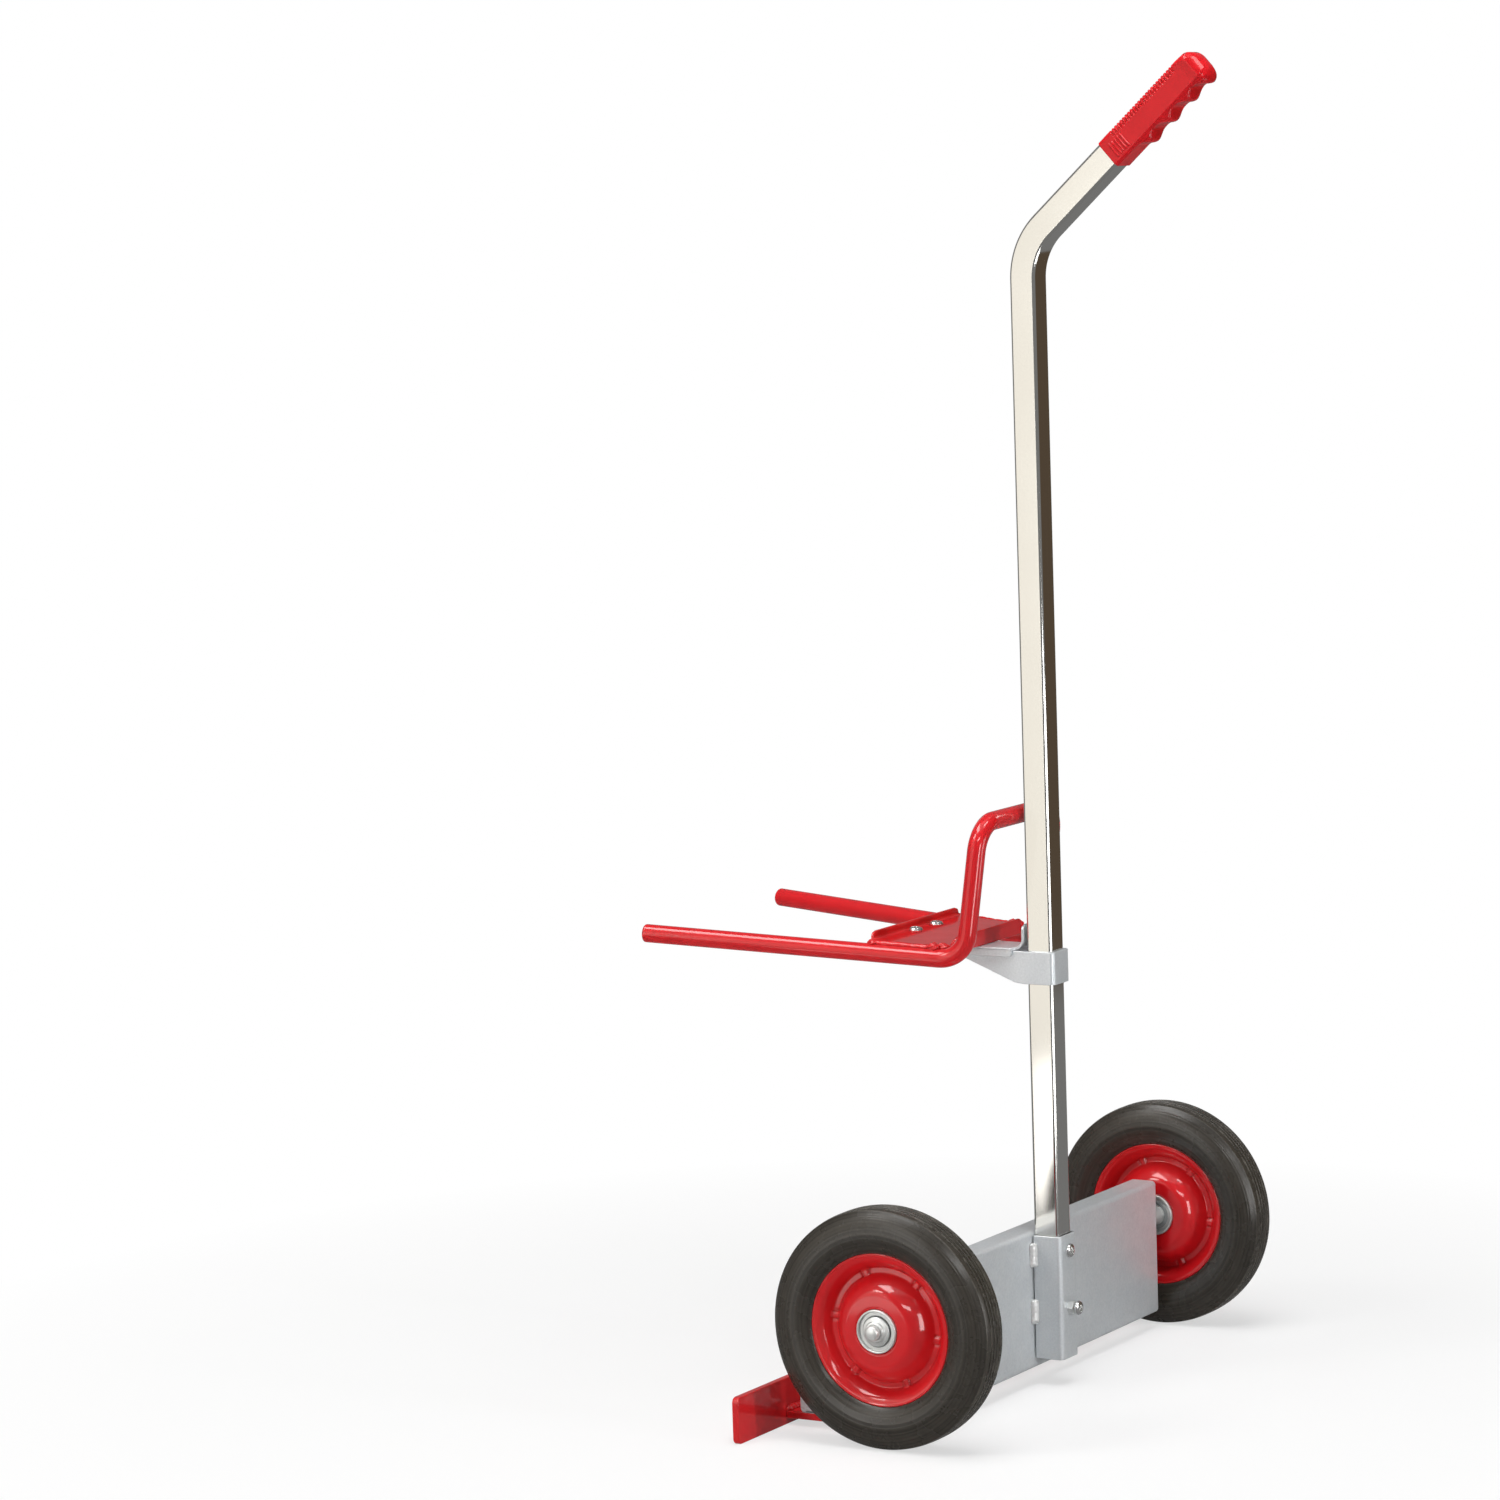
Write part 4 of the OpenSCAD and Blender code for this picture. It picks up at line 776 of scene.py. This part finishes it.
def collar():
    """Upright strip carried from one ear tip round the back of the mast to the other. Its lower edge rises in
    a straight line towards the tips, which are rounded."""
    t, bend, edge = COLLAR_T, 2.6, 0.6
    tip_y, rise_y, tip_h = 61.75, 123.75, 4.0
    h, back = COLLAR_HALF - t / 2, COLLAR_BACK - t / 2
    path = bent_path([(h, tip_y, 0), (h, back, 0), (-h, back, 0), (-h, tip_y, 0)], [bend, bend], 12)
    ear, other = np.linspace(path[0], path[1], 12), np.linspace(path[-2], path[-1], 12)
    path = np.concatenate([ear[:-1], path[1:-1], other[1:]])
    tangent = unit(np.gradient(path, axis=0))
    side = np.cross(tangent, [0, 0, 1])
    low = np.interp(path[:, 1], [tip_y, rise_y], [COLLAR_TOP - tip_h, COLLAR_LOW])
    last = len(path) - 1
    tip = ((0.0, 0.7), (0.25, 0.25), (0.7, 0.0))  # distance from the end, and how much smaller the section is
    order = [(0, d, less) for d, less in tip] + [(i, 0.0, 0.0) for i in range(1, last)]
    order += [(last, -d, less) for d, less in tip[::-1]]
    rings = []
    for i, d, less in order:
        section = inset(box_outline(-t / 2, 0, t / 2, COLLAR_TOP - low[i], edge, 4), less)
        rings.append(path[i] + tangent[i] * d + section[:, :1] * side[i]
                     + (section[:, 1:] + low[i]) * np.array([0, 0, 1]))
    return [skin(np.array(rings)[:, ::-1], caps=True)]


def table():
    """Sheet carried from the tongue's tip over the ears and up into the lip; its width changes on the way."""
    t, middle, edge = SHEET_T, TABLE_TOP - SHEET_T / 2, 0.6
    tongue_reach, tongue_z, tongue_bend, lip_bend = -84.0, 2.81, 20.0, 9.2
    bend_y, lip_y, lip_middle, lip_top = 78.75, 118.75, 128.0, 404.0
    tongue_half, ear_step, lip_step, lip_corner, tongue_corner = 30.0, 11.95, 6.0, 5.0, 4.0
    flange_x, flange_back, flange_low, flange_top = 15.55, 120.0, 376.0, 383.2
    tongue = in_fork(np.array([[0, tongue_reach, tongue_z - t / 2]]))[0]
    corners = [tongue, (0, bend_y, middle), (0, lip_middle, middle), (0, lip_middle, lip_top)]
    path = finer(bent_path(corners, [tongue_bend, lip_bend], 8), 2)
    along = run_along(path)
    flat, lip = (np.interp(y, path[:, 1], along) for y in (bend_y, lip_y))
    half = tongue_half - ear_step * smooth(along, flat - 4, flat + 2)
    half = half - lip_step * smooth(along, lip - 2, lip + 3)
    half = half - round_off(along[-1] - along, lip_corner) - round_off(along, tongue_corner)
    flange = rounded([(bend_y, flange_low), (flange_back, flange_low), (flange_back, flange_top),
                      (bend_y, flange_top)], [1, 3.5, edge, edge])
    return [sheet(path, half, t)] + both([moved(prism(flange, t, edge), along_x(flange_x))])


def fork():
    """Circle carried along the middle line of the fork's bar: arm, heel, loop and back."""
    cap = 2.2
    right = [(HEEL_HALF + ARM_REACH * SPLAY, HEEL_Y - ARM_REACH * math.cos(PITCH),
              HEEL_Z + ARM_REACH * math.sin(PITCH)),
             (HEEL_HALF, HEEL_Y, HEEL_Z), (HEEL_HALF, HEEL_Y + LOOP_BACK, HEEL_Z + LOOP_UP)]
    left = [(-x, y, z) for x, y, z in right[::-1]]
    path = bent_path(right + left, [HEEL_R, LOOP_R, LOOP_R, HEEL_R], 5)
    return [swept(path, circle(ROD_R, 36), (0, 0, 1), cap, 5)]


def arm_x(reach):
    """Half-distance between the arms' middle lines at a reach before the heel."""
    return HEEL_HALF + reach * SPLAY


def fork_plate():
    """Sheet on the rods whose front edge is turned up with round corners and whose sides follow the arms,
    against an upright strip that stands on the table."""
    t, back, shoulder, front, bend = SHEET_T, -13.5, -28.0, -88.0, 4.0
    rim_in, rim_corner, strip_low, edge, bevel = 4.5, 5.6, 3.4, 0.6, 0.7
    middle = PLATE_LOW + t / 2
    corners = [(0, front + t / 2, RIM_TOP), (0, front + t / 2, middle), (0, back - t / 2, middle)]
    path = finer(bent_path(corners, [bend], 8), 1.2)
    narrow = smooth(path[:, 1], shoulder, shoulder + 2)
    half = (arm_x(-path[:, 1]) - 1.0) * (1 - narrow) + STRIP_HALF * narrow
    half = half - rim_in * smooth(path[:, 2], middle + 0.2, middle + 3)
    half = half - round_off(run_along(path), rim_corner)
    strip = rounded([(-STRIP_HALF, strip_low), (STRIP_HALF, strip_low), (STRIP_HALF, RIM_TOP),
                     (-STRIP_HALF, RIM_TOP)], [edge, edge, rim_corner, rim_corner], 8)
    strip = moved(prism(strip, t, bevel), along_back(back))
    return [moved(p, in_fork) for p in [sheet(path, half, t, 0.8), strip]]


def blob(middle, size, seed, n=28):
    """Lump of weld metal: a sphere stretched to size whose radius varies with a few sines of its angles."""
    pole = 0.02
    u = np.linspace(pole, np.pi - pole, n)[:, None]
    v = even_turn(2 * n)[None]
    r = 1 + 0.10 * np.sin(3 * u + seed) * np.cos(2 * v + seed) + 0.07 * np.cos(5 * v - seed) * np.sin(u) ** 2
    r = r + 0.05 * np.sin(7 * u + 4 * v + 2 * seed)
    across = r * np.sin(u)
    grid = np.stack([across * np.cos(v), across * np.sin(v), r * np.cos(u) * np.ones_like(v)], -1)
    return moved(skin(grid[::-1], caps=True), lambda p: p * np.array(size) + np.array(middle))


def fork_welds():
    """A rippled bead on each rod along the plate's side edge, and lumps at its ends and at the heels."""
    first, last, z, r, pitch, rings = 30.0, 82.0, 7.9, 3.4, 9.0, 160
    start, stop = ((arm_x(reach) - 1.4, -reach, z) for reach in (first, last))
    parts = [bead(start, stop, (1, 0, 0), (0, 0, 1), r, pitch, rings, taper=1.2, ripple=0.10)]
    for middle, size, seed in (
            ((arm_x(83) - 1.0, -83.5, 8.6), (4.4, 4.8, 3.2), 1.0),
            ((arm_x(30) - 1.0, -29.0, 9.2), (4.8, 5.2, 4.0), 3.1),
            ((arm_x(22) - 5.5, -23.0, 9.0), (4.4, 6.0, 3.6), 4.0),
            ((61.2, -15.0, 9.5), (3.0, 3.4, 5.5), 5.2)):
        parts.append(blob(middle, size, seed))
    return [moved(p, in_fork) for p in both(parts)]


# Screws

def screw(length, turn):
    """Pan-head screw standing on Z: a low dome less a cross recess, above a shank with a helical thread."""
    head_r, head_h, dome_drop, edge_r, edge_drop = 6.2, 4.2, 1.5, 5.0, 1.1
    recess, recess_slope, slot_half, slot_taper, slot_edge, hub_r = 2.5, 0.18, 1.0, 0.08, 0.12, 1.3
    thread_r, thread_depth, thread_pitch = 2.98, 0.5, 1.0
    r = np.concatenate([np.linspace(0.02, 4.6, 50), np.linspace(4.7, head_r, 14)])[:, None]
    t = even_turn(180)[None]
    dome = head_h - dome_drop * (r / head_r) ** 2 - edge_drop * smooth(r, edge_r, head_r) ** 2
    x, y = np.abs(r * np.cos(t - turn)), np.abs(r * np.sin(t - turn))
    arm, reach = np.minimum(x, y), np.maximum(x, y)
    half = slot_half - slot_taper * reach
    cross = (1 - smooth(arm, half - slot_edge, half + slot_edge)) * (1 - smooth(reach, 3.1, 3.6))
    hub = 1 - smooth(r, hub_r, hub_r + 0.35)
    z = dome - recess * np.maximum(cross * (1 - recess_slope * reach), hub)
    top = np.stack([r * np.cos(t), r * np.sin(t), z], -1)
    rim = [(head_r, 1.1), (head_r - 0.15, 0.35), (head_r - 0.6, 0.05), (3.0, 0.0)]
    rim = [np.column_stack([circle(a, t.size), np.full(t.size, b)]) for a, b in rim]
    head = skin(np.concatenate([top, rim])[::-1])
    along = np.linspace(0, -length, max(30, int(length * 6)))[:, None]
    around = even_turn(28)[None]
    phase = (along / thread_pitch + around / (2 * np.pi)) % 1
    wall = thread_r - thread_depth * np.abs(2 * phase - 1)
    shank = np.stack([wall * np.cos(around), wall * np.sin(around), along * np.ones_like(around)], -1)
    return [head, skin(shank[::-1], caps=True)]


def put_screws():
    """The screws that show: two in the socket and two in the fork plate, which does not mirror them."""
    bolt = [moved(p, facing_back(SOCKET_BACK, MAST_BOLT_Z)) for p in screw(MAST_BOLT_L, 0.5)]
    piece("socket_screw_upper", bolt, "zinc", "frame", "mast_bolt", material="bright_zinc")
    clamp = [moved(p, facing_back(SOCKET_BACK + CLAMP_OUT, CLAMP_Z)) for p in screw(CLAMP_L, 0.2)]
    piece("socket_screw_lower", clamp, "zinc", "frame", "clamp_screw", material="bright_zinc")
    pair = []
    for x, turn in ((FORK_SCREW_X, 0.4), (-FORK_SCREW_X, 1.0)):
        to_seat = shift(x, FORK_SCREW_Y, PLATE_TOP)
        pair += [moved(moved(p, to_seat), in_fork) for p in screw(FORK_SCREW_L, turn)]
    fork_screws = piece("fork_screw_pair", pair, "zinc", "carriage", "fork_screws", material="bright_zinc")
    fork_screws.visible_glossy = False


def build():
    """All the pieces, each riding on its body, and finishes for the nodes that no piece replaces."""
    piece("frame_channel", channel(), "grey_paint", "frame", "axle_channel")
    piece("frame_cheek_right", cheek(), "grey_paint", "frame", "cheek_right")
    piece("frame_cheek_left", [mirrored(p) for p in cheek()], "grey_paint", "frame", "cheek_left")
    piece("frame_socket", socket(), "grey_paint", "frame", "mast_socket")
    piece("frame_stitches", socket_welds(), "weld_metal", "frame", "socket_welds")
    piece("mast_tube", mast(), "chrome", "frame", "mast")
    piece("mast_grip", grip(), "grip_vinyl", "frame", "handle_grip")
    piece("frame_toe_bar", toe_bar(), "red_paint", "frame", "toe_bar")
    piece("frame_toe_plate", toe_plate(), "red_paint", "frame", "toe_plate")
    piece("frame_toe_weld", toe_weld(), "red_paint", "frame", "toe_weld")
    piece("wheel_axle", axle(), "zinc", "frame", "axle")
    wheel(1, "wheel_right")
    wheel(-1, "wheel_left")
    piece("lift_collar", collar(), "grey_paint", "carriage", "carriage_collar")
    piece("lift_table", table(), "grey_paint", "carriage", "carriage_table")
    piece("lift_fork", fork(), "red_paint", "carriage", "fork_rod").visible_glossy = False
    piece("lift_plate", fork_plate(), "red_paint", "carriage", "fork_plate")
    piece("lift_welds", fork_welds(), "red_paint", "carriage", "fork_welds")
    put_screws()
    slots = {s["node"]: s["material_slot"] for s in frame["record"]["subparts"]}
    for name, node in frame["nodes"].items():
        node.data.materials.clear()
        node.data.materials.append(MATERIALS[slots[name]])


# Stage: floor, lights and camera, in metres

WHITE = (1.0, 1.0, 1.0)
ROOM_TONE = 0.2  # what metal and paint mirror: darker than the white that the camera sees, as in the photo
AIM, WHEEL_AIM, TOP_PLACE = (0.05, 0.05, 0.45), (0.27, 0.12, 0.1), (0.5, 0.4, 2.7)

# Place, target, width, height, watts, colour, and whether reflections show it
LAMPS = {
    "top": (TOP_PLACE, AIM, 1.6, 1.6, 54, WHITE, False),
    "key": ((2.5, -1.7, 2.7), AIM, 1.1, 1.1, 40, (1.0, 0.97, 0.93), True),
    "back_strip": ((0.35, 3.2, 0.95), (0.05, 0.05, 0.9), 0.16, 1.9, 26, WHITE, False),
    "side_strip": ((3.1, -0.9, 0.9), (0.05, 0.05, 0.85), 0.12, 1.7, 12, WHITE, True),
}

# Place, target, width, height, colour and strength, and True where it lights the object as well
CARDS = {
    "top_card": (TOP_PLACE, AIM, 1.8, 1.8, WHITE, 0.8),
    "dome_card": ((0.1, 1.1, 2.45), (0.0, 0.28, 1.1), 0.9, 0.45, WHITE, 9),
    "rim_card": ((0.86, -0.5, 2.3), WHEEL_AIM, 1.5, 0.6, WHITE, 9),
    "warm_card": ((1.36, -0.66, 0.68), (0, 0.14, 0.68), 1.1, 1.4, (1.0, 0.955, 0.87), 1.08),
    "leg_card": ((0.56, 1.1, 0.25), (0.07, 0.0, 0.35), 0.26, 0.6, WHITE, 9),
    "boss_card": ((0.74, -0.14, 0.06), WHEEL_AIM, 0.22, 0.17, (1, 0.97, 0.93), 2.2),
    "plate_card": ((-1.7, -1.0, 0.62), (0.0, 0.05, 0.4), 1.0, 0.5, WHITE, 0.2),
    "front_card": ((-1.5, -2.0, 1.0), (0, 0.14, 0.8), 1.0, 2.4, (1, 0.99, 0.97), 0.55),
    "crown_card": ((-0.25, 1.25, 0.25), WHEEL_AIM, 0.35, 0.5, WHITE, 4.5),
    "wheel_card": ((2.25, 1.55, 1.75), (0.26, 0.12, 0.1), 1.3, 0.42, WHITE, 9),
    "dark_card": ((-1.9, 1.3, 0.7), (0, 0.14, 0.7), 2.0, 2.6, (0.10, 0.072, 0.048), 0.95, True),
}


def staged(name, corners, material, **visible):
    """Flat piece of the stage with four corners, seen by the rays that are left on."""
    mesh = bpy.data.meshes.new(name)
    mesh.from_pydata([tuple(c) for c in corners], [], [(0, 1, 2, 3)])
    mesh.materials.append(material)
    obj = new_object(name, mesh)
    for key, value in visible.items():
        setattr(obj, f"visible_{key}", value)


def floor():
    """Pale floor with the shadow, plain white far from the object, and of the room's tone in reflections."""
    size, near, far, least_white = 8.0, 0.35, 1.0, 0.6
    material, tree = node_material("floor")
    shader = setup(tree.nodes["Principled BSDF"], Base_Color=(0.9, 0.9, 0.9, 1), Roughness=0.8,
                   Specular_IOR_Level=0.1)
    white = add(tree, "Emission", Strength=1.0)
    mirror = add(tree, "Emission", Strength=ROOM_TONE)
    place = add(tree, "TexCoord")
    length = add(tree, "VectorMath", operation="LENGTH")
    span = add(tree, "MapRange", From_Min=near, From_Max=far, To_Min=least_white)
    ray = add(tree, "LightPath")
    fac = add(tree, "Math", operation="MULTIPLY")
    seen = add(tree, "MixShader")
    shiny = add(tree, "MixShader")
    wire(tree, (place, "Object", length, 0), (length, "Value", span, "Value"), (span, "Result", fac, 0),
         (ray, "Is Camera Ray", fac, 1), (fac, 0, seen, "Fac"), (shader, 0, seen, 1), (white, 0, seen, 2),
         (ray, "Is Glossy Ray", shiny, "Fac"), (seen, 0, shiny, 1), (mirror, 0, shiny, 2),
         (shiny, 0, tree.nodes["Material Output"], "Surface"))
    staged("floor", [(-size, -size, 0), (size, -size, 0), (size, size, 0), (-size, size, 0)], material)


def axes_along(z):
    """Level X, the Y that goes with it, and Z, for a frame along z."""
    z = unit(np.asarray(z, float))
    x = unit(np.cross([0, 0, 1], z))
    return x, np.cross(z, x), z


def frame_matrix(x, y, z, place):
    """Matrix of a frame with the given axes and place."""
    return Matrix([*zip(x, y, z, place), (0, 0, 0, 1)])


def card(name, place, target, w, h, color, strength, lights_too=False):
    """Card of plain colour that faces a point. Reflections show it, but it is hidden and casts no shadow."""
    place = np.array(place, float)
    x, y, _ = axes_along(target - place)
    corners = [place + a * w / 2 * x + b * h / 2 * y for a, b in ((-1, -1), (1, -1), (1, 1), (-1, 1))]
    material, tree = node_material(name)
    glow = add(tree, "Emission", Strength=strength, Color=(*color, 1))
    wire(tree, (glow, 0, tree.nodes["Material Output"], "Surface"))
    staged(name, corners, material, camera=False, shadow=False, diffuse=lights_too)


def lamp(name, place, target, w, h, power, color, mirrored_too):
    """Soft rectangular light that faces a point."""
    data = bpy.data.lights.new(name, "AREA")
    data.shape = "RECTANGLE"
    data.size, data.size_y = w, h
    data.energy = power
    data.color = color
    obj = new_object(name, data)
    obj.visible_glossy = mirrored_too
    obj.matrix_world = frame_matrix(*axes_along(np.array(place, float) - target), place)


def light_scene():
    """Lamps, cards for the highlights and for the mast's faces, and a world that is white to the camera, of
    the room's tone in reflections and dim to everything else."""
    for name, values in LAMPS.items():
        lamp(name, *values)
    for name, values in CARDS.items():
        card(name, *values)
    world = bpy.data.worlds.new("studio")
    bpy.context.scene.world = world
    world.use_nodes = True
    tree = world.node_tree
    path = add(tree, "LightPath")
    color = None
    for ray, tone in (("Is Glossy Ray", ROOM_TONE), ("Is Camera Ray", 1.0)):
        mix = add(tree, "Mix", data_type="RGBA")
        mix.inputs[MIX_A].default_value = (0.15, 0.153, 0.156, 1)
        mix.inputs[MIX_B].default_value = (tone, tone, tone, 1)
        if color:
            tree.links.new(color, mix.inputs[MIX_A])
        tree.links.new(path.outputs[ray], mix.inputs["Factor"])
        color = mix.outputs[MIX_RESULT]
    tree.links.new(color, tree.nodes["Background"].inputs["Color"])


def camera():
    """Camera at the place, turn and focal length that fit the photo."""
    data = bpy.data.cameras.new("camera")
    data.sensor_width = 36.0
    data.lens = 125.76
    obj = new_object("camera", data)
    right, up, back = (-0.5100, 0.8596, -0.0316), (-0.1117, -0.0297, 0.9933), (0.8529, 0.5101, 0.1111)
    obj.matrix_world = frame_matrix(right, up, back, (3.96959, 2.22729, 1.06346))
    bpy.context.scene.camera = obj


build()
floor()
light_scene()
camera()
bpy.context.scene.view_settings.view_transform = "Standard"
